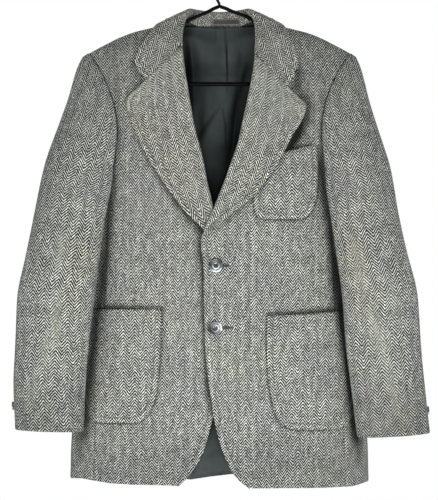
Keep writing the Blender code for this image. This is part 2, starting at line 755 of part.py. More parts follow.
def armhole_ring(side):
    """The armhole's points and body normals, from the shoulder down the front and up behind."""
    front = outer_edge(-1)[len(SEAM_ROWS) - 1:][::-1]
    back = outer_edge(1)[len(SEAM_ROWS) - 1:-1]
    x_front, drop_front = side * front[:, 0], front[:, 1]
    x_back, drop_back = side * back[:, 0], back[:, 1]
    low, low_normals = side_grid(side, np.array(SEAM_ROWS[-2:]), np.array(SIDE_TURNS))
    points = np.concatenate([
        on_body(x_front, drop_front, -1),
        low[-1, 1:-1],
        on_body(x_back, drop_back, 1),
    ])
    normals = np.concatenate([
        body_normal(x_front, drop_front, -1),
        low_normals[-1, 1:-1],
        body_normal(x_back, drop_back, 1),
    ])
    return points, normals


def sleeve_grid(side, stations):
    """Outer points of a whole sleeve, rows down from the armhole, and its wall directions."""
    table = SLEEVE_RIGHT if side < 0 else SLEEVE_LEFT
    armhole, armhole_normals = armhole_ring(side)
    along = unit(np.roll(armhole, -1, axis=0) - np.roll(armhole, 1, axis=0))
    away = unit(np.cross(armhole_normals, along))
    opening = place(side * OPENING_CENTRE[0], OPENING_CENTRE[1], OPENING_CENTRE[2])
    away *= np.sign(np.sum(away * (opening - armhole), axis=-1, keepdims=True))
    start = armhole + away * (2.0 * SEAM_INSET) + armhole_normals * 0.4
    angles = np.radians(np.array(SLEEVE_ANGLES, dtype=float))
    rings = []
    hug = np.array(SLEEVE_HUG)
    side_line = armhole + armhole_normals * HUG_EASE
    for k, (drop, centre_x, span, centre_y, depth, yaw, lean) in enumerate(table):
        turn = math.radians(yaw)
        u = span * np.cos(angles)
        v = depth * np.sin(angles)
        x = centre_x + u * math.cos(turn) + v * math.sin(turn)
        y = centre_y - v * math.cos(turn) + u * math.sin(turn)
        share = hug * HUG_SHARES[k]
        x = side * x * (1.0 - share) + side_line[:, 0] * share
        y = y * (1.0 - share) + side_line[:, 1] * share
        rings.append(place(x, y, drop - lean * np.cos(angles) + HUG_LOWER * share))
    centre = place(side * CROWN_CENTRE[0], CROWN_CENTRE[1], CROWN_CENTRE[2])
    height = np.clip((CAP_FOOT + HOOK_RISE + armhole[:, 2]) / CAP_HEIGHT, 0.0, 1.0)[:, None]
    outward = unit(start - centre)
    crown = start + (rings[0] - start) * CROWN_BLEND + outward * CROWN_LIFT * (0.1 + 0.9 * height)
    cap = start + (rings[0] - start) * CAP_BLEND + outward * CAP_LIFT * height
    rings = [start, crown, cap] + rings
    stack = np.stack(rings)
    flat = stack.reshape(len(rings), -1)
    grid = np.empty((len(stations), flat.shape[1]))
    for k in range(flat.shape[1]):
        table_k = [(knot, value) for knot, value in zip(SLEEVE_KNOTS, flat[:, k])]
        grid[:, k] = smooth_curve(table_k, 1)(np.array(stations))
    grid = grid.reshape(len(stations), -1, 3)
    drop = -grid[..., 2] - HOOK_RISE
    clearance = SLEEVE_CLEAR + (SLEEVE_CLEAR_POCKET - SLEEVE_CLEAR) * ramp(drop, *POCKET_LEVEL)
    away_share = ramp(np.asarray(stations, dtype=float), 0.0, CLEAR_RUN)[:, None]
    grid[1:] = clear_of_body(grid[1:], (SEAM_CLEAR + (clearance - SEAM_CLEAR) * away_share)[1:])
    normals = grid_normals(grid, wrap=True)
    facing = np.sum(normals * (grid - grid.mean(axis=1, keepdims=True)), axis=-1)
    normals *= np.sign(facing.sum())
    normals[0] = unit(armhole_normals + normals[0] - away * SEAM_MITRE)
    return grid, normals


def add_sleeve(top_name, under_name, side):
    points, normals = sleeve_grid(side, SLEEVE_STATIONS)
    inner = points - normals * TWEED
    count = points.shape[1]
    top = [k % count for k in range(SLEEVE_SEAM_BACK, count + SLEEVE_SEAM_FRONT + 1)]
    under = list(range(SLEEVE_SEAM_FRONT, SLEEVE_SEAM_BACK + 1))
    for name, columns in ((top_name, top), (under_name, under)):
        walls = inset(points[:, columns], inner[:, columns], ("first_column", "last_column"))
        add_wall(name, *walls, "tweed")


def leaf_height(share, edge, roll):
    """Height of a turned-back leaf over the cloth under it, from its fold to its edge."""
    flat = TURN_RADIUS - TWEED / 2.0
    near = share / LAPEL_ROLL_PEAK
    return flat + (edge - flat) * ramp(share, 0.0, 0.8) + roll * near**2 * np.exp(2.0 * (1.0 - near))


def lapel_surface(table, edge_height, strip_lift, under):
    """Surface of a lapel: row up the roll, column through the turn (0-2) and the leaf (2-3)."""
    rows = np.array(table)
    keys = np.linspace(0.0, 1.0, len(rows))
    curves = [smooth_curve([(k, v) for k, v in zip(keys, rows[:, c])], 1) for c in range(4)]

    def surface(row, column):
        roll = np.stack([curves[0](row), curves[1](row)], axis=-1)
        edge = np.stack([curves[2](row), curves[3](row)], axis=-1)
        across = unit(edge - roll)
        fold = roll + across * TURN_RADIUS
        length = np.linalg.norm(edge - fold, axis=-1)
        turn = math.pi * np.clip(column - 1.0, 0.0, 1.0)
        share = np.clip(column - 2.0, 0.0, 1.1)
        strip = TURN_UNDER * np.clip(1.0 - column, -0.0, 1.1)
        reach = strip - TURN_RADIUS * np.sin(turn) + length * share
        chart = fold + across * reach[..., None]
        half = TWEED / 2.0
        rise = LAPEL_ROLL * ramp(row, 0.15, 0.6)
        low = strip_lift * np.clip(1.0 - column, 0.0, 1.0) - half - TURN_RADIUS * np.cos(turn)
        height = np.where(column < 2.0, low, leaf_height(share, edge_height, rise))
        return on_body(chart[..., 0], chart[..., 1], -1, height, under)

    return surface


def add_lapel(name, side):
    if side < 0:
        table = LAPEL_UNDER
        surface = lapel_surface(table, LAPEL_EDGE_UNDER, STRIP_LIFT_UNDER, True)
    else:
        table = LAPEL_OVER
        surface = lapel_surface(table, LAPEL_EDGE_OVER, STRIP_LIFT_OVER, False)
    rows = np.linspace(0.0, 1.0, len(table))
    columns = np.array(TURN_STEPS + LEAF_STEPS)
    surface_wall(name, surface, rows, columns, LAPEL_CLOTH, "tweed", ("last_row",))


def collar_rows():
    """Fold, edge and stand points of the collar from the right gorge to the left gorge."""
    rows = []
    for side in (-1.0, 1.0):
        half_rows = []
        for k, row in enumerate(COLLAR_HALF):
            fold_x, fold_y, fold_drop, edge_x, edge_y, edge_drop, stand_x, stand_y, stand_drop = row
            if fold_y is None:
                fade = 1.0 - k / NECK_ROWS
                if side > 0:
                    fold_x += (COLLAR_GORGE_LEFT[0] + TURN_RADIUS - COLLAR_HALF[0][0]) * fade
                    fold_drop += (COLLAR_GORGE_LEFT[1] - COLLAR_HALF[0][2]) * fade
                    edge_x += (COLLAR_TIP_LEFT[0] - COLLAR_HALF[0][3]) * fade
                    edge_drop += (COLLAR_TIP_LEFT[1] - COLLAR_HALF[0][5]) * fade
                chart = np.array([side * fold_x, fold_drop])
                leaf = unit(np.array([side * edge_x, edge_drop]) - chart)
                fold = on_body(chart[0], chart[1], -1, -TWEED / 2.0)
                edge = on_body(side * edge_x, edge_drop, -1, COLLAR_EDGE_CLEAR)
                under = chart + leaf * TURN_UNDER
                stand = on_body(under[0], under[1], -1, -TWEED / 2.0 - TURN_RADIUS)
            else:
                fold = place(side * fold_x, fold_y, fold_drop)
                edge = place(side * edge_x, edge_y, edge_drop)
                stand = place(side * stand_x, stand_y, stand_drop)
            half_rows.append(np.concatenate([fold, edge, stand]))
        rows += half_rows if side < 0 else half_rows[::-1][1:]
    return np.array(rows)


def collar_surface():
    """Surface of the collar: row from gorge to gorge, column stand (0-1), turn (1-2), leaf (2-3)."""
    rows = collar_rows()
    keys = np.linspace(0.0, 1.0, len(rows))
    curves = [smooth_curve([(k, v) for k, v in zip(keys, rows[:, c])], 1) for c in range(9)]
    ends = {
        -1: (COLLAR_GORGE_RIGHT, COLLAR_NOTCH_RIGHT, COLLAR_TIP_RIGHT),
        1: (COLLAR_GORGE_LEFT, COLLAR_NOTCH_LEFT, COLLAR_TIP_LEFT),
    }

    def surface(row, column):
        values = np.stack([curve(np.clip(row, 0.0, 1.0)) for curve in curves], axis=-1)
        fold, edge, stand = values[..., 0:3], values[..., 3:6], values[..., 6:9]
        middle = -unit(unit(stand - fold) + unit(edge - fold))
        inward = stand - fold
        inward = unit(inward - np.sum(inward * middle, axis=-1, keepdims=True) * middle)
        start = fold + inward * TURN_RADIUS
        finish = fold - inward * TURN_RADIUS
        turn = (math.pi * np.clip(column - 1.0, 0.0, 1.0))[..., None]
        arc = fold + TURN_RADIUS * (inward * np.cos(turn) + middle * np.sin(turn))
        low = np.clip(column, 0.0, 1.0)[..., None]
        strip = stand + (start - stand) * low
        share = np.clip(column - 2.0, 0.0, 1.05)[..., None]
        length = np.linalg.norm(edge - finish, axis=-1, keepdims=True)
        straight = finish + (edge - finish) * share
        hollow = middle * COLLAR_HOLLOW + inward * COLLAR_DIP
        leaf = straight - hollow * length * share * (1.0 - share)
        for side, (gorge, notch, tip) in ends.items():
            nearness = 1.0 - ramp(row if side < 0 else 1.0 - row, 0.0, NOTCH_ROWS)
            along = np.clip(share[..., 0] / (NOTCH_STEP - 2.0), 0.0, 1.0)
            past = np.clip((share[..., 0] - (NOTCH_STEP - 2.0)) / (3.0 - NOTCH_STEP), 0.0, 1.0)
            x = gorge[0] + (notch[0] - gorge[0]) * along + (tip[0] - notch[0]) * past
            drop = gorge[1] + (notch[1] - gorge[1]) * along + (tip[1] - notch[1]) * past
            height = leaf_height(share[..., 0], LAPEL_EDGE_UNDER if side < 0 else LAPEL_EDGE_OVER, LAPEL_ROLL)
            target = on_body(x, drop, -1, height)
            leaf = leaf + (target - leaf) * nearness[..., None] * ramp(share, 0.0, 0.12)
        leaf = clear_of_body(leaf, COLLAR_CLEAR * ramp(share[..., 0], -0.3, 0.15))
        points = np.where(column[..., None] < 1.0, strip, arc)
        return np.where(column[..., None] > 2.0, leaf, points)

    return surface


def add_collar():
    surface = collar_surface()
    middle = np.linspace(NOTCH_ROWS, 1.0 - NOTCH_ROWS, COLLAR_STATIONS)
    rows = np.concatenate([[0.0, 0.02, 0.05], middle, [0.95, 0.98, 1.0]])
    columns = np.array(TURN_STEPS + (2.15, 2.4, 2.6, NOTCH_STEP, 3.0))
    surface_wall("collar", surface, rows, columns, LAPEL_CLOTH, "tweed", ("first_row", "last_row"))

    # The label lies on the flats of the stand, from one height of it to another
    inside = middle[(middle > LABEL_SPAN[0]) & (middle < LABEL_SPAN[1])]
    stations = np.concatenate([LABEL_SPAN[:1], inside, LABEL_SPAN[1:]])
    foot = surface(middle, np.zeros_like(middle))
    top = surface(middle, np.ones_like(middle))
    foot = np.stack([np.interp(stations, middle, foot[:, axis]) for axis in range(3)], axis=-1)
    top = np.stack([np.interp(stations, middle, top[:, axis]) for axis in range(3)], axis=-1)
    face = np.stack([foot + (top - foot) * height for height in LABEL_HEIGHT], axis=1)
    normals = unit(np.cross(np.gradient(foot, axis=0), top - foot))
    normals *= -np.sign(normals[:, 1:2])
    normals = normals[:, None, :]
    back = face + normals * (LAPEL_CLOTH + LAY_GAP)
    add_wall("neck_label", back + normals * LABEL_CLOTH, back, "label")


def add_pocket(name, table, side, slant):
    """Patch pocket on the front: rows up from its bottom, columns across."""
    rows = np.array(table)
    shares = np.array(POCKET_SHARES)
    x = rows[:, 1:2] + (rows[:, 2:3] - rows[:, 1:2]) * shares
    rise = ramp(np.arange(len(rows)), 0.0, len(rows) - 1.0)[:, None] ** 3
    drop = rows[:, 0:1] + slant * rise * shares
    lift = POCKET_MOUTH_LIFT * rise * np.sin(math.pi * shares)
    seat = POCKET_SEAT + POCKET_EASE * ramp(np.abs(x), 120.0, 210.0)
    height = seat + POCKET_CLOTH + lift
    points = on_body(x, drop, -1, height, side < 0)
    base = on_body(x, drop, -1, height - POCKET_CLOTH, side < 0)
    add_wall(name, points, base, "tweed")


def add_lining():
    """Back lining: one sheet inside both back panels, from above the hem to the neck seam."""
    grids = [back_grid(side) for side in (-1.0, 1.0)]
    x = np.concatenate([grids[0][0][:, :0:-1], grids[1][0]], axis=1)
    drop = np.concatenate([grids[0][1][:, :0:-1], grids[1][1]], axis=1)
    rows = slice(1, -1)
    surface = on_body(x, drop, 1)[rows]
    normals = body_normal(x, drop, 1)[rows]
    outer = surface - normals * (TWEED + LINING_GAP)
    inner = surface - normals * (TWEED + LINING_GAP + LINING_CLOTH)
    walls = inset(inner, outer, ("first_column", "last_column", "last_row"))
    add_wall("lining_back", *walls, "lining", surface)


def add_button(name, centre, facing, radius):
    """Four-hole button with a raised rim and inner ring, seated on the cloth."""
    facing = unit(facing)
    up = np.array([0.0, 0.0, 1.0])
    across = unit(np.cross(up, facing))
    up = np.cross(facing, across)
    vertices = []
    faces = []
    turn = [2.0 * math.pi * k / BUTTON_SEGMENTS for k in range(BUTTON_SEGMENTS)]
    for share, height in BUTTON_PROFILE:
        for angle in turn:
            flat = across * math.cos(angle) + up * math.sin(angle)
            vertices.append(centre + flat * share * radius + facing * (BUTTON_SEAT + height * radius))
    for r in range(len(BUTTON_PROFILE) - 1):
        for k in range(BUTTON_SEGMENTS):
            n = (k + 1) % BUTTON_SEGMENTS
            a, b = r * BUTTON_SEGMENTS, (r + 1) * BUTTON_SEGMENTS
            faces.append((a + k, a + n, b + n, b + k))
    last = (len(BUTTON_PROFILE) - 1) * BUTTON_SEGMENTS
    faces.append(tuple(range(BUTTON_SEGMENTS))[::-1])
    faces.append(tuple(range(last, last + BUTTON_SEGMENTS)))
    item = add_object(name, vertices, faces, "button")
    cutters = []
    for k in range(4):
        angle = math.pi / 4.0 + k * math.pi / 2.0
        flat = across * math.cos(angle) + up * math.sin(angle)
        origin = centre + flat * BUTTON_HOLE_RING * radius
        points = []
        for end in HOLE_ENDS:
            for n in range(HOLE_SEGMENTS):
                spin = 2.0 * math.pi * n / HOLE_SEGMENTS
                ring = (across * math.cos(spin) + up * math.sin(spin)) * BUTTON_HOLE_RADIUS * radius
                points.append(origin + ring + facing * end)
        sides = [tuple(range(HOLE_SEGMENTS)), tuple(range(HOLE_SEGMENTS, 2 * HOLE_SEGMENTS))[::-1]]
        for n in range(HOLE_SEGMENTS):
            m = (n + 1) % HOLE_SEGMENTS
            sides.append((n, n + HOLE_SEGMENTS, m + HOLE_SEGMENTS, m))
        cutter = add_object(f"{name}_hole_{k + 1}", points, sides, "button", smooth=False)
        cutter.hide_render = True
        cutter.display_type = "WIRE"
        cutters.append(cutter)
    for cutter in cutters:
        cut = item.modifiers.new(cutter.name, "BOOLEAN")
        cut.operation = "DIFFERENCE"
        cut.object = cutter
        cut.solver = "EXACT"
    return item


def add_tube(name, path, radius, slot):
    """Round wire along a path of points, closed by flat ends."""
    path = np.asarray(path, dtype=float)
    tangents = unit(np.gradient(path, axis=0))
    side = unit(np.cross(tangents, np.array([0.0, 1.0, 0.0])))
    lift = np.cross(side, tangents)
    vertices = []
    for k in range(len(path)):
        for n in range(WIRE_SIDES):
            angle = 2.0 * math.pi * n / WIRE_SIDES
            vertices.append(path[k] + radius * (side[k] * math.cos(angle) + lift[k] * math.sin(angle)))
    faces = [tuple(range(WIRE_SIDES))]
    last = (len(path) - 1) * WIRE_SIDES
    faces.append(tuple(range(last, last + WIRE_SIDES))[::-1])
    for k in range(len(path) - 1):
        for n in range(WIRE_SIDES):
            m = (n + 1) % WIRE_SIDES
            a, b = k * WIRE_SIDES, (k + 1) * WIRE_SIDES
            faces.append((a + n, b + n, b + m, a + m))
    return add_object(name, vertices, faces, slot)


def hanger_drop(x):
    """Drop of the hanger's arm under the shoulder."""
    inner = min(x, HANGER_BEND) * math.tan(math.radians(HANGER_SLOPE))
    outer = max(x - HANGER_BEND, 0.0) * math.tan(math.radians(HANGER_SLOPE_OUT))
    return HANGER_APEX_DROP + inner + outer


def add_hanger():
    for name, side in (("hanger_arm_right", -1.0), ("hanger_arm_left", 1.0)):
        reach = [JOINT_GAP / 2.0] + list(np.linspace(APEX_FLAT, ARM_REACH, ARM_STEPS))
        path = [place(side * x, 0.0, hanger_drop(max(x, APEX_FLAT))) for x in reach]
        end_drop = hanger_drop(ARM_REACH)
        path += [place(side * (ARM_REACH + out), 0.0, end_drop + down) for out, down in ARM_END]
        path += [place(side * ARM_FOOT, 0.0, BAR_DROP - rise) for rise in ARM_FOOT_RISES]
        add_tube(name, path, HANGER_WIRE, "hanger")
    bar = [place(x, 0.0, BAR_DROP + BAR_WIRE) for x in np.linspace(-BAR_HALF, BAR_HALF, 9)]
    add_tube("hanger_bar", bar, BAR_WIRE, "hanger")
    centre_rise = HOOK_RISE - HOOK_INNER
    radius = HOOK_INNER + HOOK_WIRE
    foot_drop = hanger_drop(APEX_FLAT) - HANGER_WIRE - FOOT_GAP
    lean = math.asin(radius / (centre_rise + foot_drop))
    start = np.array([0.0, foot_drop])
    touch = np.array([-radius * math.cos(lean), -centre_rise + radius * math.sin(lean)])
    path = []
    for share, bow in HOOK_STEM:
        point = start + (touch - start) * share
        path.append(place(point[0] * bow, 0.0, point[1]))
    first = 180.0 + math.degrees(lean)
    for angle in np.radians(np.linspace(first, 180.0 - HOOK_END_ANGLE, HOOK_STEPS)):
        path.append(place(radius * math.cos(angle), 0.0, -centre_rise - radius * math.sin(angle)))
    add_tube("hanger_hook", path, HOOK_WIRE, "hanger")


def add_cuff_button(name, side):
    """Cuff button on the outermost line of the sleeve, above its hem."""
    points, normals = sleeve_grid(side, SLEEVE_STATIONS)
    table = SLEEVE_RIGHT if side < 0 else SLEEVE_LEFT
    drop = table[-1][0] - CUFF_BUTTON_RISE
    column = points[:, 0]
    drops = -column[:, 2] - HOOK_RISE
    k = int(np.searchsorted(drops, drop)) - 1
    share = (drop - drops[k]) / (drops[k + 1] - drops[k])
    centre = column[k] + (column[k + 1] - column[k]) * share
    facing = normals[k, 0] + (normals[k + 1, 0] - normals[k, 0]) * share
    add_button(name, centre, facing, CUFF_BUTTON_RADIUS)


def build():
    for item in list(bpy.data.objects):
        bpy.data.objects.remove(item, do_unlink=True)
    add_front("front_right", -1)
    add_front("front_left", 1)
    add_side("side_right", -1)
    add_side("side_left", 1)
    add_back("back_right", -1)
    add_back("back_left", 1)
    add_sleeve("sleeve_top_right", "sleeve_under_right", -1)
    add_sleeve("sleeve_top_left", "sleeve_under_left", 1)
    add_lapel("lapel_right", -1)
    add_lapel("lapel_left", 1)
    add_collar()
    add_pocket("pocket_hip_right", POCKET_HIP_RIGHT, -1, 0.0)
    add_pocket("pocket_hip_left", POCKET_HIP_LEFT, 1, POCKET_TOP_SLANT_LEFT)
    add_pocket("pocket_breast", POCKET_BREAST, 1, POCKET_TOP_SLANT_BREAST)
    add_lining()
    for name, x, drop in FRONT_BUTTONS:
        add_button(name, on_body(x, drop, -1), body_normal(x, drop, -1), BUTTON_RADIUS)
    add_cuff_button("button_cuff_right", -1)
    add_cuff_button("button_cuff_left", 1)
    add_hanger()


build()
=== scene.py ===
"""Looks of a herringbone tweed jacket on a slim wire hanger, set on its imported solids.

Lengths are millimetres until the meshes are made. "Drop" is the distance down from the level
of the front neck. The form's tables and functions repeat those of the solids, so that every
cloth piece lies on the solid that it stands for.
"""

import math

import bpy
import numpy as np
from mathutils import Matrix


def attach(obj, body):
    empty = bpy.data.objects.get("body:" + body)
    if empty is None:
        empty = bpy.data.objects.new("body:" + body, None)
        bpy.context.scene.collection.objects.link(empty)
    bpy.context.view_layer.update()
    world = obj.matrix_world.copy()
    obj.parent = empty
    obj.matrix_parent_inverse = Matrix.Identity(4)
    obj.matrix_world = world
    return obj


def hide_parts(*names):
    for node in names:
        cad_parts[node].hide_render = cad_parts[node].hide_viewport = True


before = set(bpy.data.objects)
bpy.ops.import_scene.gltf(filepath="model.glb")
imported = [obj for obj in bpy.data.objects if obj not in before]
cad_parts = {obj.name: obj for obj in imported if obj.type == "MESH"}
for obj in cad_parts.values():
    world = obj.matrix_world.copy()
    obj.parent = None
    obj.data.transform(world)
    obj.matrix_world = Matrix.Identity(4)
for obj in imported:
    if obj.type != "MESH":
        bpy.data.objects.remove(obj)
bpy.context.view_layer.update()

MM = 0.001
HOOK_RISE = 86.0

# ---- cloth ----
TWEED = 2.0
LAPEL_CLOTH = 1.6
LINING_CLOTH = 1.0
LABEL_CLOTH = 0.6
SEAM_INSET = 0.16
LAY_GAP = 0.3

# ---- body form: a flattened tube whose top closes over the shoulder ridge ----
SECTION_POWER = 2.2
SHOULDER_DROP = 100.0
# drop, half_width, front_depth, back_depth
BODY_RINGS = (
    (0, 232, 64, 60), (150, 232, 64, 60), (262, 234, 62, 57), (430, 229, 54, 47), (600, 238, 50, 44),
    (720, 248, 50, 45), (820, 254, 50, 46),
)
# half_span, drop of the shoulder ridge
RIDGE = (
    (0, 12), (40, 14.5), (66, 19.5), (106, 28.8), (128, 34), (150, 40), (170, 47.5), (195, 60),
    (221, 73.5), (240, 85),
)
# drop, half_width of the seam between front and side panel, and of the one behind
SIDE_SEAMS = (
    (238, 173.5, 207), (280, 180, 204), (330, 187, 201), (433, 191, 197), (540, 198, 200),
    (650, 205, 206), (716, 210, 209), (820, 213, 212),
)
# drop, half_width of the armhole in front, and behind
ARMHOLE = (
    (73, 221, 221), (88, 211, 214.5), (108, 198.5, 209), (138, 184.5, 204), (170, 175, 202),
    (200, 171, 203), (215, 171, 204), (238, 173.5, 207),
)
ARMHOLE_SAG = 24.0
ARMHOLE_SAG_END = 385.0
# Soft standing folds: side, half_width at top, at bottom, top drop, bottom drop, spread, height
FOLDS = (
    (-1, 150, 120, 210, 520, 30, 2.6), (-1, 110, 60, 260, 640, 34, -2), (-1, 190, 160, 560, 860, 32, 2.8),
    (1, 152, 135, 230, 520, 30, 2.4), (1, 105, 70, 360, 660, 34, -2), (1, 192, 150, 600, 860, 32, 2.8),
)
# Height of a fold behind, for one unit of it in front
FOLD_BEHIND = -0.8

# ---- rows that the panels share, from the hem up ----
SEAM_ROWS = (806.0, 790.0, 750.0, 702.0, 650.0, 600.0, 540.0, 485.0, 433.0, 385.0, 357.0, 330.0, 280.0, 238.0)
ARMHOLE_ROWS = (215.0, 190.0, 165.0)
PANEL_ROWS = SEAM_ROWS + ARMHOLE_ROWS
RIDGE_ROWS = (80.0, 68.0, 55.0, 42.0, 28.0, 14.0, 0.0)
FRONT_COLUMNS = 11
# Rows run along the shoulder above the first drop, and level below the second
SHOULDER_BEND = (110.0, 240.0)
SIDE_TURNS = (-1.0, -0.72, -0.4, 0.0, 0.4, 0.72, 1.0)
BACK_SHARES = (0.0, 0.1, 0.2, 0.3, 0.44, 0.58, 0.72, 0.86, 1.0)

# ---- front edges below the lapels ----
# drop, x of the edge
EDGES = {
    -1: (
        (389, 18), (499, 18), (572, 15), (629, 5), (665, -5), (680, -10), (705, -15), (744, -27),
        (771, -38), (791, -54), (806, -68),
    ),
    1: (
        (389, -31), (433, -27), (499, -26), (572, -24), (629, -18), (680, -10), (716, -4), (755, 10),
        (778, 23), (798, 36), (806, 49),
    ),
}
# drop, half_width of the panel edge that the collar folds over
NECK_EDGE = ((19.5, 66), (35, 66), (55, 66.5))
BACK_NECK_DROP = 20.5
BACK_NECK_SPAN = (12.0, 66.0)
# How far the under front lies behind the over front. drop, depth
LAP_DEPTH = ((290, 0), (325, 11), (385, 11), (430, 3.4), (690, 3.4), (770, 0.5), (820, 0))
LAP_NEAR = -80.0
LAP_FULL = -36.0

# ---- lapels ----
TURN_RADIUS = 3.8
TURN_UNDER = 6.0
# roll_x, roll_drop, edge_x, edge_drop: rows from the break up to the gorge
LAPELS = {
    -1: (
        (-4, 354, -16, 382), (-11, 338, -34, 366), (-15, 322, -58, 343), (-21, 297, -78, 315),
        (-27, 265, -97, 287), (-34, 235, -116, 258), (-41, 210, -129, 231), (-47, 178, -141, 204),
        (-53, 142, -150, 180), (-58, 112, -154, 167), (-61, 90, -154.5, 161), (-63, 70.5, -155, 157.5),
    ),
    1: (
        (-27, 375, -22, 385), (-22, 363, -4, 365), (-11, 340, 22, 344), (0, 313, 45, 327),
        (11, 284, 67, 304), (21, 256, 88, 276), (31, 226, 104, 248), (38, 194, 119, 219),
        (45, 162, 134, 195), (52, 128, 141, 180), (56, 104, 143.5, 172), (58.5, 82.5, 144, 168.5),
    ),
}
LAPEL_ROLL = 3.0
LAPEL_ROLL_PEAK = 0.3
LAPEL_EDGE = {-1: 3.6, 1: 4.8}
STRIP_LIFT = {-1: 2.0, 1: 0.5}

# ---- collar: half stations from the gorge round to the centre back ----
# fold_x, fold_y, fold_drop, edge_x, edge_y, edge_drop, stand_x, stand_y, stand_drop
# A fold_y or edge_y of None is taken from the front panel under it.
COLLAR_HALF = (
    (66.5, None, 68.5, 141, None, 97.5, 0, None, 0), (66.8, None, 57, 140, None, 88, 0, None, 0),
    (66.5, None, 45, 133, None, 72, 0, None, 0), (65.5, None, 34, 125, None, 57, 0, None, 0),
    (62, -22, 20, 116, -34, 42, 66, -20, 30), (57, -12, 9, 110, -20, 32, 65, -8, 21),
    (51.5, 0, 3, 106, 0, 26, 62, 3, 17.5), (45, 12, 1.5, 97, 21, 30, 53, 11, 18.5),
    (33, 24, 1.5, 76, 38, 39, 39, 21, 23), (17, 33, 1.5, 43, 48, 48, 20, 29, 28),
    (0, 37, 1.5, 0, 52.5, 52, 0, 32.5, 30.5),
)
# Gorge, notch and tip of the collar's two ends: x, drop
COLLAR_ENDS = {
    -1: ((-63.5, 69.2), (-123, 124.8), (-141, 97.5)),
    1: ((59, 81.2), (112, 135.2), (129, 108)),
}
# Number of collar rows that lie on the fronts
NECK_ROWS = 4
NOTCH_STEP = 2.8
# Share of the collar's length that each notch end takes
NOTCH_ROWS = 0.085
COLLAR_CLEAR = 3.0
COLLAR_EDGE_CLEAR = 3.6
# Depth of the hollow between the collar's fold and its edge, as shares of the leaf
COLLAR_HOLLOW = 0.20
COLLAR_DIP = 0.08

# ---- pockets: edges of the patch. drop, inner_x, outer_x ----
POCKET_HIP_RIGHT = (
    (697, -150, -196), (694, -132, -212), (680, -117.5, -224), (658, -108, -230), (634, -103, -231),
    (590, -100, -229), (548, -98, -226), (506.5, -97, -222),
)
POCKET_HIP_LEFT = (
    (708, 132, 190), (704.5, 113, 206), (690, 97.5, 220), (665, 89, 228), (640, 84, 230), (600, 80, 229),
    (560, 79, 226), (518, 80, 222),
)
POCKET_BREAST = (
    (356, 76, 128), (353, 66, 143), (344, 59.5, 153), (329, 57, 160), (300, 57, 163.5), (272, 57, 164),
    (237, 57, 162),
)
# Rise of the mouth from its inner to its outer end, for the pockets on the left
POCKET_TOP_SLANT_LEFT = -9.0
POCKET_TOP_SLANT_BREAST = -26.0
# Mouth of the breast pocket in the photo, lower than its solid's
BREAST_MOUTH = (256.0, 57.0, 162.0)
POCKET_CLOTH = 1.8
POCKET_SEAT = 0.55
POCKET_EASE = 1.0
POCKET_SHARES = (0.0, 0.15, 0.3, 0.44, 0.57, 0.69, 0.79, 0.87, 0.94, 1.0)

# ---- sleeves ----
# drop, centre_x, half_span, centre_y, half_depth, yaw, lean
SLEEVES = {
    -1: (
        (285, 237, 62, -31, 50, 20, 18), (350, 250.5, 62, -45, 49, 16, 10),
        (420, 262, 62.5, -57, 46, 11, 5), (490, 272.5, 65, -62, 44, 8, 2), (560, 278, 62, -63, 42, 5, 0),
        (630, 282.5, 60.5, -62, 39, 4, 0), (707, 283, 57.5, -60, 35, 4, 0),
    ),
    1: (
        (285, 232, 59, -32, 50, 20, 18), (350, 243.5, 60, -46, 49, 16, 10),
        (420, 255.5, 60.5, -58, 46, 11, 5), (490, 267, 63.5, -64, 44, 8, 2),
        (560, 272, 63, -65, 42, 5, 0), (630, 279.5, 62, -64, 39, 4, 0), (714, 289.5, 61, -62, 36, 4, 0),
    ),
}
# Angle round the sleeve of each armhole point, from the shoulder down the front
SLEEVE_ANGLES = (
    0, 12, 25, 39, 54, 71, 89, 108, 128, 150, 176, 203, 230,
    254, 276, 290, 297, 303, 309, 315, 321, 328, 335, 341, 347, 354,
)
# Share of the body's side line that each of those points follows under the arm
SLEEVE_HUG = (0.0,) * 11 + (0.5, 0.95, 1.0, 0.75) + (0.0,) * 11
# Share of that hold at each ring of the sleeve tables
HUG_SHARES = (1.0, 0.75, 0.35, 0.0, 0.0, 0.0, 0.0)
SLEEVE_SEAM_FRONT = 12
SLEEVE_SEAM_BACK = 20
# Distance down the sleeve of the form's rings: armhole, crown, cap, then the table's rings
SLEEVE_KNOTS = (0.0, 13.0, 88.0, 185.0, 252.0, 322.0, 392.0, 462.0, 532.0, 610.0)
CROWN_BLEND = 0.07
CROWN_LIFT = 8.0
CAP_BLEND = 0.45
CAP_LIFT = 5.0
CAP_FOOT = 262.0
CAP_HEIGHT = 190.0
SEAM_MITRE = 0.6
SEAM_RISE = 0.4
HUG_EASE = 5.0
HUG_LOWER = 8.0
OPENING_CENTRE = (260.0, 0.0, 165.0)
CROWN_CENTRE = (150.0, 0.0, 165.0)
SLEEVE_CLEAR = 3.2
SLEEVE_CLEAR_POCKET = 7.0
POCKET_LEVEL = (430.0, 500.0)
# Clearance beside the seam, and the run over which it grows to the full one
SEAM_CLEAR = 0.8
CLEAR_RUN = 60.0

# ---- lining and label ----
LINING_GAP = 0.5
# Along the collar from the right gorge, and up its stand
LABEL_SPAN = (0.469, 0.600)
LABEL_HEIGHT = (0.22, 0.72)

# ---- buttons ----
# x, drop, turn of the holes, direction that the painted highlight comes from
FRONT_BUTTONS = (("button_top", -6.0, 433.0, 0.12, 280.0), ("button_bottom", -7.0, 538.0, -0.35, 8.0))
# Turn of the holes and direction of the painted highlight on the cuff buttons
CUFF_BUTTON_LOOK = (0.3, 300.0)
# drop, x of one end, x of the other, tilt
BUTTONHOLES = (
    ("buttonhole_top", 434.0, -15.0, 16.5, -0.02),
    ("buttonhole_bottom", 537.0, -15.0, 21.5, 0.02),
)
BUTTON_SEAT = 0.6
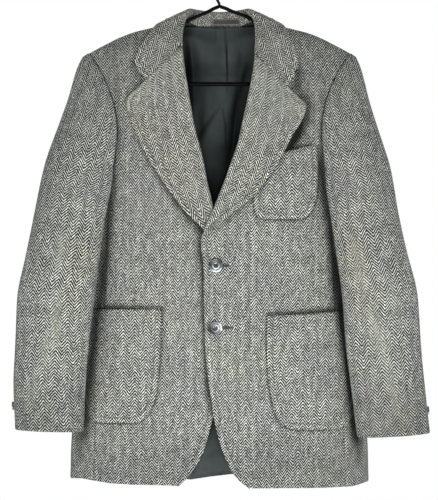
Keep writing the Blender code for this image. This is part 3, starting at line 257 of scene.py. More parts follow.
# radius, height, as a share of the button's radius
FINE_BUTTON = (
    (0.7, 0), (0.88, 0.02), (0.97, 0.08), (1, 0.16), (0.99, 0.23), (0.95, 0.285), (0.9, 0.31),
    (0.84, 0.305), (0.78, 0.285), (0.7, 0.235), (0.62, 0.205), (0.56, 0.205), (0.52, 0.225),
    (0.49, 0.255), (0.46, 0.265), (0.43, 0.25), (0.4, 0.225), (0.36, 0.21), (0.2, 0.205),
)
BUTTON_RADIUS = 11.6
CUFF_BUTTON_RADIUS = 7.5
BUTTON_HOLE_RING = 0.20
BUTTON_HOLE_RADIUS = 0.085
CUFF_BUTTON_RISE = 42.0

# ---- hanger ----
HANGER_APEX_DROP = -3.2
HANGER_SLOPE = 24.5
HANGER_BEND = 62.0
HANGER_SLOPE_OUT = 16.25
HANGER_WIRE = 2.8
APEX_FLAT = 3.0
ARM_REACH = 187.0
# out from the arm's reach, down from its drop there: the rounded shoulder of the wire
ARM_END = ((6, 4.5), (11, 11), (14, 21), (10.5, 29.5), (4, 36))
ARM_FOOT = 186.0
ARM_FOOT_RISES = (5.0, 0.3)
BAR_DROP = 126.0
BAR_WIRE = 2.4
BAR_HALF = 189.0
HOOK_WIRE = 2.25
HOOK_INNER = 20.0
HOOK_END_ANGLE = 205.0
HOOK_STEPS = 19
# share of the way up the stem, share of its lean
HOOK_STEM = ((0, 0), (0.06, 0), (0.3, 0.95), (0.65, 1))

# Which side is which: the wearer's right is at negative x
TAGS = {-1: "right", 1: "left"}
# The four rims of a grid, where one piece of cloth is sewn to another
SEAMS = (np.s_[0, :], np.s_[-1, :], np.s_[:, 0], np.s_[:, -1])
# Shares of the thickness by which a sewn rim dips outside and rises inside
SOFT_TOP = 0.30
SOFT_FOOT = 0.72
# Distance from the edges that is given where none is worked out
EDGE_FAR = 60.0
# Topstitching: distance from the edge, length and radius of a stitch
BODY_STITCH = (9.5, 2.3, 0.34)
LEAF_STITCH = (8.0, 2.2, 0.32)
STITCH_PITCH = 3.4
STITCH_SINK = 0.10
# Places along a stitch, with its height in radii and its width there
STITCH_SPOTS = (0.0, 0.22, 0.5, 0.78, 1.0)
STITCH_RISE = (-1.1, 0.15, 0.5, 0.15, -1.1)
STITCH_SIZE = (0.5, 0.95, 1.0, 0.95, 0.5)

# ---- looks ----
# Zigzag of the weave: width of one wale, climb across it, distance between ribs, offset of the next wale
WALE = 8.75
WALE_SLOPE = 1.34
LAPEL_SLOPE = 1.30
RIB = 5.2
WALE_SHIFT = 0.12
# How far the yarns stray, and the height of the weave at which light yarn covers dark
YARN_WANDER = 1.6
LIGHT_YARN = (0.66, 0.76)
# Half width of the groove that the topstitching pulls in
GROOVE = 1.3
# Light and dark yarn, blur, fuzz, seed, distance of the stitching, stain, slope
TWEEDS = {
    "body": ((0.955, 0.995, 0.945), (0.006, 0.007, 0.006), 0.7, 0.55, 1.0, BODY_STITCH[0], 0.0, WALE_SLOPE),
    "sleeve": ((0.94, 0.985, 0.94), (0.007, 0.008, 0.007), 0.8, 0.52, 2.0, BODY_STITCH[0], 0.24, WALE_SLOPE),
    "lapel": ((0.965, 1.0, 0.925), (0.008, 0.009, 0.007), 1.3, 0.62, 3.0, LEAF_STITCH[0], 0.10, LAPEL_SLOPE),
    "collar": ((0.975, 1.0, 0.935), (0.008, 0.009, 0.007), 1.1, 0.58, 4.0, LEAF_STITCH[0], 0.06, WALE_SLOPE),
}
FLECK = (0.30, 0.27, 0.16)
RUBBED = (0.355, 0.36, 0.295)
GROOVE_SHADE = (0.035, 0.036, 0.033)
WORN_EDGE = (0.42, 0.42, 0.37)
LINING_DARK = (0.018, 0.026, 0.0255)
LINING_LIGHT = (0.056, 0.071, 0.068)
LINING_SHADED = (0.0012, 0.0022, 0.0024)
LABEL_DARK = (0.020, 0.022, 0.021)
LABEL_LIGHT = (0.044, 0.046, 0.042)
LABEL_BORDER = (0.36, 0.31, 0.22)
PEARL_DARK = (0.006, 0.008, 0.010)
PEARL_GREY = (0.10, 0.115, 0.125)
PEARL_PAINTED_HIGHLIGHT = (0.66, 0.72, 0.74)
THREAD_GREY = (0.16, 0.16, 0.15)
THREAD_DARK = (0.030, 0.031, 0.030)
WIRE_BLACK = (0.0012, 0.0012, 0.0012)
WIRE_SCUFFED = (0.005, 0.005, 0.005)

# ---------------------------------------------------------------- folds
# x, drop at the start; x, drop at the end; bow; width on either side; height
FRONT_FOLDS = (
    (-168, 250, -136, 470, 8, 9, 20, -2.2), (-146, 262, -112, 500, 5, 16, 11, 1.7),
    (-150, 330, -92, 452, -6, 8, 13, -1.1), (-16, 452, -112, 408, 3, 6, 11, -0.9),
    (-22, 470, -128, 486, -3, 10, 7, 0.8), (-30, 556, -92, 574, 2, 6, 10, -0.7),
    (-58, 372, -112, 436, 4, 7, 13, -1.1), (-60, 590, -74, 812, -6, 15, 24, -1.8),
    (-34, 600, -52, 792, 4, 13, 18, 1.3), (-150, 690, -166, 816, 4, 12, 20, 1.6),
    (-196, 702, -190, 820, 0, 10, 12, -1.6), (-120, 80, -150, 176, 6, 14, 20, -1.3),
    (-174, 84, -158, 200, -5, 9, 15, 1.1), (168, 262, 138, 480, -8, 20, 9, -2.2),
    (146, 378, 112, 520, -4, 10, 17, 1.6), (10, 446, 116, 406, -3, 6, 11, -1),
    (16, 462, 120, 476, 3, 11, 7, 0.8), (12, 548, 74, 572, -2, 6, 9, -0.8),
    (48, 372, 96, 452, -4, 8, 14, -1), (44, 600, 62, 812, 6, 22, 13, -1.7),
    (18, 590, 40, 776, -4, 16, 12, 1.2), (128, 700, 144, 816, -4, 18, 11, 1.7),
    (176, 712, 186, 820, 2, 12, 10, -1.5), (124, 84, 146, 188, -6, 20, 13, -1.2),
    (176, 92, 160, 206, 5, 14, 9, 1),
)
BACK_FOLDS = (
    (-160, 200, -120, 440, 8, 11, 24, -2.4), (-130, 230, -96, 470, 5, 18, 12, 1.8),
    (-60, 120, -84, 330, -6, 16, 22, -1.4), (-40, 420, -56, 660, 6, 14, 20, -1.6),
    (-100, 560, -120, 818, -6, 16, 26, 2.2), (-150, 520, -164, 812, 5, 14, 18, -2),
    (-14, 700, -26, 812, 0, 9, 16, 1.2), (-120, 70, -40, 96, 4, 9, 15, -1.1),
    (164, 210, 126, 420, -9, 22, 10, -2.2), (136, 240, 100, 490, -5, 12, 18, 1.7),
    (66, 130, 90, 350, 7, 22, 15, -1.5), (36, 440, 58, 640, -6, 18, 13, -1.5),
    (104, 590, 118, 818, 6, 24, 15, 2.3), (152, 540, 170, 812, -5, 18, 13, -2.1),
    (22, 640, 30, 812, 0, 14, 10, -1.3), (116, 72, 44, 100, -4, 9, 14, -1),
)
SIDE_FOLDS = (
    (-20, 300, 8, 470, 4, 9, 15, -1.8), (14, 420, -10, 640, -5, 13, 9, 1.6),
    (-6, 600, 10, 812, 4, 12, 16, 2.2),
)
# Round the sleeve from its outer line over the front, and down from the armhole
SLEEVE_FOLDS = {
    -1: (
        (160, 60, 92, 250, 12, 9, 18, -3.4), (132, 70, 66, 290, 10, 16, 12, 2.2),
        (40, 30, 46, 330, -9, 22, 16, 1.8), (172, 372, 78, 424, 9, 7, 13, -3.6),
        (174, 402, 96, 470, 7, 9, 13, 2.4), (176, 446, 70, 476, -8, 7, 12, -3),
        (150, 330, 84, 372, 6, 7, 12, -1.8), (28, 400, 92, 452, -6, 8, 14, -1.8),
        (30, 470, 58, 606, 6, 13, 19, 1.7), (104, 480, 96, 612, -5, 10, 17, -2.2),
        (150, 500, 138, 610, 4, 12, 9, 1.4), (250, 90, 300, 330, -12, 12, 20, -3),
        (286, 60, 322, 280, 8, 18, 12, 2), (230, 380, 312, 436, -8, 8, 13, -2.8),
        (226, 440, 300, 462, 6, 9, 12, 2), (262, 470, 276, 612, 5, 12, 18, -2),
    ),
    1: (
        (162, 70, 100, 268, 13, 9, 17, -3.2), (128, 60, 72, 300, 8, 15, 12, 2.1),
        (44, 40, 38, 300, 8, 18, 22, 1.7), (170, 352, 82, 414, 8, 8, 13, -3.2),
        (172, 392, 88, 446, 8, 9, 12, 2.4), (176, 430, 64, 470, -9, 7, 13, -3.3),
        (34, 380, 100, 440, -5, 8, 13, -1.7), (146, 470, 86, 500, 5, 8, 12, -1.6),
        (38, 460, 50, 610, -6, 18, 13, 1.8), (96, 500, 106, 616, 5, 16, 10, -2),
        (152, 520, 146, 612, -4, 9, 12, 1.3), (252, 80, 296, 310, -10, 12, 20, -3.1),
        (290, 70, 318, 300, 8, 18, 12, 2.1), (232, 366, 316, 420, -8, 8, 13, -2.6),
        (228, 430, 306, 456, 6, 9, 12, 2), (264, 480, 270, 616, 5, 12, 17, -1.9),
    ),
}
LINING_FOLDS = (
    (-52, 30, -46, 250, -4, 11, 7, 7.5), (-20, 60, -24, 300, 3, 16, 12, 2.6),
    (30, 160, -12, 330, -8, 6, 15, 6.5), (46, 40, 30, 340, 8, 15, 8, 8), (22, 130, 20, 330, -3, 8, 11, 4),
    (-36, 150, -20, 360, 5, 8, 14, 4.2), (-120, 60, -90, 500, 8, 16, 24, 4),
    (110, 70, 96, 520, -8, 24, 15, 4.2), (-60, 420, -40, 780, 5, 15, 24, 4.2),
    (8, 560, -6, 786, -4, 13, 19, 3.4), (70, 460, 60, 780, 5, 22, 14, 4),
)
# x, drop where it begins to close, drop where it is closed, height
PLEAT = (13.4, 118.0, 150.0, 3.2)
GRAIN_STEP = 4.5
# Where cloth lies on cloth and the light does not reach: x, drop, width, strength
SLEEVE_SHADE = {
    -1: (
        (-172, 120, 4, 0.25), (-173, 165, 6, 0.45), (-172, 215, 8, 0.6), (-176, 253, 9, 0.75),
        (-184, 340, 11, 0.9), (-193, 430, 12, 0.95), (-209, 560, 13, 0.95), (-228, 705, 14, 0.95),
        (-238, 770, 10, 0.2),
    ),
    1: (
        (172, 120, 4, 0.25), (174, 202, 7, 0.55), (172, 235, 8, 0.65), (170, 262, 10, 0.92),
        (174, 300, 10, 0.95), (181, 345, 10, 0.95), (190, 400, 11, 1), (203, 500, 12, 1.3),
        (217, 600, 12, 1.4), (229, 705, 12, 1.4), (236, 770, 8, 0.2),
    ),
}
# Rubbed streaks down the sleeves: x, drop, width, strength
SLEEVE_WEAR = {
    -1: (
        ((-258, 370, 6, 0.3), (-262, 408, 10, 0.8), (-264, 440, 7, 0.3)),
        ((-264, 480, 6, 0.3), (-267, 505, 8, 0.6), (-268, 545, 7, 0.7), (-269, 562, 6, 0.3)),
        ((-281, 545, 6, 0.35), (-286, 566, 8, 0.55), (-289, 605, 6, 0.35)),
        ((-303, 612, 8, 0.3), (-309, 634, 10, 0.65), (-314, 660, 8, 0.3)),
    ),
    1: (
        ((214, 375, 6, 0.3), (222, 408, 8, 0.75), (232, 452, 9, 0.6), (238, 480, 8, 0.45)),
        ((248, 505, 8, 0.45), (257, 538, 11, 0.8), (266, 570, 9, 0.65), (272, 592, 8, 0.35)),
        ((276, 600, 6, 0.35), (285, 640, 7, 0.55), (292, 672, 7, 0.35)),
        ((282, 470, 10, 0.25), (290, 500, 12, 0.45), (294, 530, 9, 0.2)),
    ),
}
# Share of its real width that the weave keeps where a sleeve rounds away
EDGE_STRETCH = 0.6
# Painted shade beside the lapels, the collar and the over front's edge: x, drop, width, strength
LAPEL_SHADE = {
    -1: (
        (-112, 44, 5, 0.3), (-128, 62, 6, 0.35), (-144, 98, 6, 0.4), (-130, 126, 5, 0.5),
        (-156, 160, 4, 0.4), (-141, 204, 4, 0.45), (-116, 258, 5, 0.6), (-97, 287, 7, 0.7),
        (-78, 315, 9, 0.8), (-58, 343, 10, 0.85), (-34, 366, 11, 0.9), (-27, 384, 10, 0.9),
        (-31, 402, 7, 0.95), (-27, 440, 6, 0.95), (-26, 520, 6, 0.9), (-20, 630, 6, 0.95),
        (-8, 700, 5, 0.85), (2, 760, 4, 0.3),
    ),
    1: (
        (100, 44, 7, 0.35), (118, 72, 8, 0.45), (132, 108, 10, 0.7), (128, 138, 10, 0.75),
        (150, 164, 9, 0.75), (141, 190, 11, 0.92), (130, 214, 13, 1.1), (120, 232, 10, 1.1),
        (106, 248, 5, 0.5), (88, 278, 5, 0.5), (60, 314, 5, 0.5), (28, 344, 5, 0.55), (-4, 372, 4, 0.5),
    ),
}
# Painted shadow along the mouths of the pockets: x, drop, width, strength
MOUTH_SHADE = (
    ((-222, 503, 5, 0.85), (-97, 504, 4, 0.7)), ((80, 515, 4, 0.7), (222, 506, 5, 0.85)),
    ((100, 245, 5, 0.85), (152, 231, 4, 0.6)),
)
# Width and strength of the painted shadow line round each pocket
OUTLINE_SHADE = (3.0, 0.92)
# Painted shade on the lining, in its folds, along its pleat and near the fronts: x, drop, width, strength
LINING_SHADE = (
    ((-59, 26, 14, 0.9), (-58, 70, 17, 0.96), (-55, 116, 19, 0.97), (-50, 150, 14, 0.85)),
    ((-30, 128, 8, 0.45), (-28, 160, 7, 0.5), (-31, 190, 6, 0.5)),
    (
        (0, 162, 2.5, 0.3), (-14, 181, 3.5, 0.6), (-26, 198, 7, 0.88), (-36, 214, 9, 0.96),
        (-43, 234, 9, 0.9), (-34, 270, 9, 0.8), (-24, 300, 8, 0.85), (-12, 335, 9, 0.95),
    ),
    (
        (48, 88, 5, 0.55), (42, 108, 6, 0.85), (34, 134, 7, 0.96), (28, 160, 8, 0.97),
        (24, 182, 7.5, 0.92), (22, 206, 7, 0.82), (18, 245, 7.5, 0.88), (12, 280, 8, 0.88),
        (2, 312, 9, 0.92), (-6, 345, 14, 0.97),
    ),
    ((28, 60, 9, 0.35), (37, 84, 11, 0.5)),
    (
        (8.6, 30, 1.6, 0.5), (10.4, 51, 1.8, 0.85), (12, 66, 1.7, 0.9), (13.4, 90, 1.5, 0.75),
        (14.2, 116, 1.4, 0.55),
    ),
    ((-7.2, 28, 1.6, 0.4), (-7.2, 52, 1.5, 0.2)),
    ((5, 163, 1.6, 0.45), (10, 193, 1.8, 0.6), (11.5, 234, 1.8, 0.6)),
    ((-60, 350, 44, 0.55), (-10, 430, 80, 0.8), (0, 620, 140, 0.85), (0, 690, 80, 0.45)),
    (
        (-12, 680, 8, 0.97), (-15, 712, 6, 0.95), (-25, 742, 5.5, 0.8), (-36, 770, 5, 0.7),
        (-46, 794, 5, 0.6),
    ),
    ((-3, 700, 4, 0.3), (0, 728, 6, 0.7), (5, 755, 6, 0.7), (14, 776, 6, 0.45), (23, 790, 5, 0.4)),
    ((-19, 770, 5, 0.3), (-8, 763, 6, 0.45), (3, 766, 4, 0.35)),
)
HEM_RISE = {
    -1: (
        (-255, 12), (-233, 14), (-187, 7.5), (-141, 5.5), (-84, 5), (-60, 3), (-10, 0), (180, 0),
        (224, 1), (255, 8),
    ),
    1: (
        (-255, 12), (-200, 11), (-90, 9), (-50, 3.8), (-15, 9), (22, 13.4), (40, 12.5), (90, 8), (200, 6),
        (255, 8),
    ),
}

# Upper edge of the lining across the back neck: distance from the centre, depth, drop
LINING_TOP = ((0, 29.4, 25.6), (20, 26, 26.4), (39, 19, 28), (53, 9.5, 29.5), (64, 2, 31))
WIRE_LIFT = {
    -1: ((0, 3.9), (20, 2.2), (38, 2.9), (57, 2.2), (90, 0)),
    1: ((0, 3.9), (20, 3.7), (40, 5.6), (52, 5.3), (95, 0)),
}
CUFF_SLANT = {-1: 1.0, 1: 2.2}
OUTER_TUCK = {-1: 2.4, 1: 4.2}
NECK_DIP = (3.0, 40.0)
# Where the collar faces the front its weave runs level across the chest, leaning by this angle
FALL_FACING = -0.48
FALL_LEAN = 24.0
LAPEL_QUIET = (150.0, 360.0)
LAPEL_SPRING = 4.0
NOTCH_AT = {-1: 2.66, 1: 2.62}
LAPEL_WAVES = {
    -1: ((0.3, 0.1, -0.5), (0.55, 0.12, 0.9), (0.8, 0.08, -0.4)),
    1: ((0.34, 0.12, 0.8), (0.62, 0.09, -0.5), (0.84, 0.09, 0.5)),
}

# ---- smaller measures of the looks ----
# Waves of the uneven cloth: length and direction
RIPPLES = ((61, 0.3), (43, 1.9), (97, 1.1), (29, 2.6), (133, 0.8))
HEM_FADE = (680.0, 806.0)
LAPEL_FOOT = 372.0
FACING_WIDTH = 62.0
POCKET_STEP = 4.0
# How far the mouth of a pocket stands open
MOUTH_OPEN = 3.5
SLEEVE_CUTS = 5
SLEEVE_ROUND = 350.0
# Station above which the weave follows the sleeve's cap, and below which the cuff is lined
CAP_LEVEL = 175.0
CUFF_LINING = 572.0
WEAVE_SCALE = (0.88, 0.96)
GORGE_TUCK = (2.6, 0.9)
LINING_HANG = 0.72
HOLE_PROFILE = ((1, -1), (1, 6))
# Thread between two button holes: share of the way, height
THREAD_ARCH = ((0, -1.2), (0.02, 0.1), (0.2, 0.34), (0.5, 0.42), (0.8, 0.34), (0.98, 0.1), (1, -1.2))
# Rounded end of a tube: share of the radius, share of the way out
DOME = ((0.95, 0.32), (0.8, 0.6), (0.45, 0.89), (0, 1))
# Half width of a buttonhole and of its slit
HOLE_HALF = 1.55
SLIT_HALF = 0.55
PURL = ((-0.95, 0), (-0.4, 0.25), (0.4, 0.25), (0.95, 0))
HOOK_FOOT = -4.4
# Floor, in metres, and the light of the surroundings
FLOOR = 4.5
FLOOR_LEVEL = -1.75
WORLD_LIGHT = 0.56
# Place, target, size and energy of each light, in metres and watts
LIGHTS = {
    "key": ((0.15, -1.7, -1.15), (0.0, 0.0, -0.45), 0.7, 24.4),
    "fill": ((-0.6, -2.6, 0.3), (0.0, 0.0, -0.6), 1.4, 6.6),
    "rim": ((0.3, 2.4, 0.9), (0.0, 0.0, -0.4), 2.0, 26.0),
}
# The camera: distance to the plane of the front, height of the view there, sensor, place, target
CAMERA_FAR = 3.2
CAMERA_VIEW = 0.835
CAMERA_SENSOR = 24.0
CAMERA_PLACE = (-0.0008, -3.25, -0.4935)
CAMERA_TARGET = (-0.0008, 0.0, -0.4935)


def smooth_curve(table, column):
    """Returns a smooth function of a table's first column that never overshoots its rows."""
    rows = sorted((row[0], row[column]) for row in table)
    keys = np.array([row[0] for row in rows], dtype=float)
    values = np.array([row[1] for row in rows], dtype=float)
    steps = np.diff(keys)
    slopes = np.diff(values) / steps
    tangents = np.zeros_like(keys)
    tangents[0] = slopes[0]
    tangents[-1] = slopes[-1]
    for k in range(1, len(keys) - 1):
        if slopes[k - 1] * slopes[k] > 0.0:
            left = 2.0 * steps[k] + steps[k - 1]
            right = steps[k] + 2.0 * steps[k - 1]
            tangents[k] = (left + right) / (left / slopes[k - 1] + right / slopes[k])

    def value(key):
        key = np.clip(np.asarray(key, dtype=float), keys[0], keys[-1])
        k = np.clip(np.searchsorted(keys, key, side="right") - 1, 0, len(steps) - 1)
        t = (key - keys[k]) / steps[k]
        start = values[k] * (1.0 + 2.0 * t) * (1.0 - t) ** 2 + tangents[k] * steps[k] * t * (1.0 - t) ** 2
        end = values[k + 1] * t * t * (3.0 - 2.0 * t) + tangents[k + 1] * steps[k] * t * t * (t - 1.0)
        return start + end

    return value


def unit(vectors):
    """Scales vectors along the last axis to length one."""
    vectors = np.asarray(vectors, dtype=float)
    length = np.linalg.norm(vectors, axis=-1, keepdims=True)
    return vectors / np.maximum(length, 1e-9)


def ramp(value, low, high):
    """Smooth step from 0 at low to 1 at high."""
    t = np.clip((value - low) / (high - low), 0.0, 1.0)
    return t * t * (3.0 - 2.0 * t)


def bell(distance, width):
    """Bell curve: 1 at no distance, fading over a width."""
    return np.exp(-((distance / width) ** 2))


def dot(a, b):
    """Dot product along the last axis, which is kept."""
    return np.sum(a * b, axis=-1, keepdims=True)


def sums(values):
    """Running sum of values, from 0."""
    return np.concatenate([[0.0], np.cumsum(values)])


def place(x, y, drop):
    """Millimetres from x, y and drop to part coordinates, as one array."""
    return np.stack(np.broadcast_arrays(x, y, -(np.asarray(drop) + HOOK_RISE)), axis=-1).astype(float)


def drop_of(points):
    """Drop of points in part coordinates, the other way round from place."""
    return -points[..., 2] - HOOK_RISE


ridge_drop = smooth_curve(RIDGE, 1)
half_width, front_depth, back_depth = (smooth_curve(BODY_RINGS, column) for column in (1, 2, 3))
seam_front, seam_back = (smooth_curve(SIDE_SEAMS, column) for column in (1, 2))
arm_front, arm_back = (smooth_curve(ARMHOLE, column) for column in (1, 2))
lap_depth = smooth_curve(LAP_DEPTH, 1)


def form_depth(drop, face):
    """Greatest depth of the body form at a drop, in front (face -1) or behind (+1)."""
    return np.where(np.asarray(face) < 0, front_depth(drop), back_depth(drop))


def depth_squared(x, drop, face):
    """Square of the body form's depth at a point seen from the front (face -1) or back (+1)."""
    width = np.abs(x) / half_width(drop)
    across = np.maximum(1.0 - np.minimum(width, 1.0) ** SECTION_POWER, 0.0) ** (2.0 / SECTION_POWER)
    down = np.minimum((drop - ridge_drop(np.abs(x))) / SHOULDER_DROP, 1.0)
    return form_depth(drop, face) ** 2 * across * down * (2.0 - down)


def signed_depth(x, drop, face):
    """The body form's y at a point, negative in front."""
    return face * np.sqrt(np.maximum(depth_squared(x, drop, face), 0.0))


def fold_height(x, drop, face):
    """Height of the soft standing folds, front and back alike in kind."""
    total = np.zeros(np.broadcast(x, drop).shape)
    sign = np.where(np.asarray(face) < 0, 1.0, FOLD_BEHIND)
    for side, x_top, x_low, top, low, spread, height in FOLDS:
        share = (drop - top) / (low - top)
        middle = side * (x_top + (x_low - x_top) * share)
        window = ramp(share, 0.0, 0.3) * (1.0 - ramp(share, 0.7, 1.0))
        total = total + sign * height * window * bell(x - middle, spread)
    return total


def body_normal(x, drop, face):
    """Outward normal of the body form."""
    step = 0.5
    along_x = (depth_squared(x + step, drop, face) - depth_squared(x - step, drop, face)) / (2.0 * step)
    along_drop = (depth_squared(x, drop + step, face) - depth_squared(x, drop - step, face)) / (2.0 * step)
    depth = signed_depth(x, drop, face)
    return unit(np.stack(np.broadcast_arrays(-along_x, 2.0 * depth, along_drop), axis=-1))


def on_body(x, drop, face, off=0.0, under=False):
    """Point on the body form, raised by off along its normal. The under front sinks behind the other."""
    x = np.asarray(x, dtype=float)
    drop = np.asarray(drop, dtype=float)
    lift = np.asarray(off, dtype=float) + fold_height(x, drop, face)
    if under:
        lift = lift - lap_depth(drop) * ramp(x, LAP_NEAR, LAP_FULL)
    return place(x, signed_depth(x, drop, face), drop) + body_normal(x, drop, face) * lift[..., None]


def clear_of_body(points, clearance):
    """Moves points that lie in or too near the body form out of it, along its normals."""
    points = np.array(points, dtype=float)
    for _ in range(5):
        x, y = points[..., 0], points[..., 1]
        drop = drop_of(points)
        face = np.where(y < 0.0, -1.0, 1.0)
        width = half_width(drop)
        down = np.clip((drop - ridge_drop(np.abs(x))) / SHOULDER_DROP, 1e-4, 1.0)
        depth = form_depth(drop, face) * np.sqrt(down * (2.0 - down))
        across = np.abs(x / width)
        through = np.abs(y / depth)
        size = np.maximum((across**SECTION_POWER + through**SECTION_POWER) ** (1.0 / SECTION_POWER), 1e-6)
        slope_x = (across / size) ** (SECTION_POWER - 1.0) * np.sign(x) / width
        slope_y = (through / size) ** (SECTION_POWER - 1.0) * face / depth
        slope = np.maximum(np.hypot(slope_x, slope_y), 1e-6)
        push = np.maximum(clearance - (size - 1.0) / slope, 0.0)
        points[..., 0] += push * slope_x / slope
        points[..., 1] += push * slope_y / slope
    return points


def grid_normals(points, wrap=False):
    """Unit normals of a grid of points, rows by columns."""
    down = np.gradient(points, axis=0)
    if wrap:
        along = np.roll(points, -1, axis=1) - np.roll(points, 1, axis=1)
    else:
        along = np.gradient(points, axis=1)
    return unit(np.cross(along, down))


def shoulder_row(x_of_drop, start_x, angle):
    """x and drop of an edge at an angle down from the shoulder ridge."""
    x = start_x
    drop = 0.0
    for _ in range(12):
        drop = float(ridge_drop(abs(x))) + SHOULDER_DROP * (1.0 - math.cos(math.radians(angle)))
        x = float(x_of_drop(drop))
    return x, drop


def edge_rows(x_of_drop, start_x):
    """An edge's points from the hem to the ridge, on the rows that all panels share."""
    points = [(float(x_of_drop(drop)), drop) for drop in PANEL_ROWS]
    points += [shoulder_row(x_of_drop, start_x, angle) for angle in RIDGE_ROWS]
    return np.array(points)


def outer_edge(face):
    """Side seam and armhole of a front or back panel."""
    seam, arm = (seam_front, arm_front) if face < 0 else (seam_back, arm_back)
    return edge_rows(lambda drop: seam(drop) if drop >= SEAM_ROWS[-1] else arm(drop), ARMHOLE[0][1])


def lapel_fold(table):
    """Where the front panel ends under the lapel's roll: x and drop."""
    rows = np.array(table)
    across = unit(rows[:, 2:4] - rows[:, 0:2])
    return rows[:, 0:2] + across * TURN_RADIUS


def front_edge(side):
    """Neck, roll and cutaway edge of the front on one side: x against drop."""
    rows = [(drop, side * half) for drop, half in NECK_EDGE]
    rows += [(drop, x) for x, drop in lapel_fold(LAPELS[side])]
    return smooth_curve(rows + list(EDGES[side]), 1)


def between(inner, outer, shares):
    """x and drop of columns that divide the rows between two edges."""
    x = inner[:, :1] + (outer[:, :1] - inner[:, :1]) * shares
    return x, inner[:, 1:] + (outer[:, 1:] - inner[:, 1:]) * shares


def panel_chart(inner, outer):
    """x and drop of a front's grid, straight below and bent along the shoulder on top."""
    shares = np.linspace(0.0, 1.0, FRONT_COLUMNS)
    x, level = between(inner, outer, shares)
    below_inner = inner[:, 1:] - ridge_drop(np.abs(inner[:, :1]))
    below_outer = outer[:, 1:] - ridge_drop(np.abs(outer[:, :1]))
    below = ridge_drop(np.abs(x)) + below_inner + (below_outer - below_inner) * shares
    return x, level + (below - level) * (1.0 - ramp(outer[:, 1:], *SHOULDER_BEND))


def back_neck(x):
    """Drop of the back neck seam, below the ridge."""
    return BACK_NECK_DROP * (1.0 - ramp(np.abs(x), *BACK_NECK_SPAN))


def back_grid(side):
    """x and drop of a back panel's grid: rows up from the hem, columns out from the centre."""
    outer = outer_edge(1) * (side, 1.0)
    inner = np.zeros_like(outer)
    inner[:, 1] = outer[:, 1]
    ridge_start = len(PANEL_ROWS)
    neck_drop = float(ridge_drop(0.0) + back_neck(0.0))
    inner[ridge_start:, 1] = np.linspace(ARMHOLE_ROWS[-1], neck_drop, len(RIDGE_ROWS) + 1)[1:]
    x, level = between(inner, outer, np.array(BACK_SHARES))
    top = ridge_drop(np.abs(x[-1])) + back_neck(x[-1])
    weight = ramp(np.arange(len(outer)), ridge_start - 3.0, len(outer) - 1.0)[:, None]
    drop = level + weight * (top - level[-1])
    row_below = 0.8 * np.arange(len(outer))[::-1, None]
    return x, np.maximum(drop, ridge_drop(np.abs(x)) + back_neck(x) + row_below)


def side_grid(side, drops, turns):
    """Grid of a side panel: rows up from the hem, columns from the front (turn -1) to the back (+1)."""
    drop, turn = np.meshgrid(drops, turns, indexing="ij")
    sag = ARMHOLE_SAG * np.cos(turn * math.pi / 2.0)
    drop = drop + sag * (1.0 - ramp(drop, SEAM_ROWS[-1], ARMHOLE_SAG_END))
    face = np.where(turn < 0.0, -1.0, 1.0)
    width = half_width(drop)
    depth = form_depth(drop, face)
    seam = np.where(turn < 0.0, seam_front(drop), seam_back(drop))
    angle = turn * np.arccos((seam / width) ** (SECTION_POWER / 2.0))
    x = width * np.cos(angle) ** (2.0 / SECTION_POWER)
    y = depth * np.sign(angle) * np.abs(np.sin(angle)) ** (2.0 / SECTION_POWER)
    lift = fold_height(side * x, drop, face) * ramp(np.abs(turn), 0.4, 1.0)
    power = SECTION_POWER - 1.0
    slope_x = (x / width) ** power / width
    slope_y = np.sign(y) * (np.abs(y) / depth) ** power / depth
    normals = unit(np.stack([side * slope_x, slope_y, 0.0 * x], axis=-1))
    return place(side * x, y, drop) + normals * lift[..., None], normals


def armhole_ring(side):
    """The armhole's points and body normals, from the shoulder down the front and up behind."""
    start = len(SEAM_ROWS) - 1
    front = (outer_edge(-1)[start:][::-1] * (side, 1.0)).T
    back = (outer_edge(1)[start:-1] * (side, 1.0)).T
    low, low_normals = side_grid(side, np.array(SEAM_ROWS[-2:]), np.array(SIDE_TURNS))
    points = [on_body(*front, -1), low[-1, 1:-1], on_body(*back, 1)]
    normals = [body_normal(*front, -1), low_normals[-1, 1:-1], body_normal(*back, 1)]
    return np.concatenate(points), np.concatenate(normals)


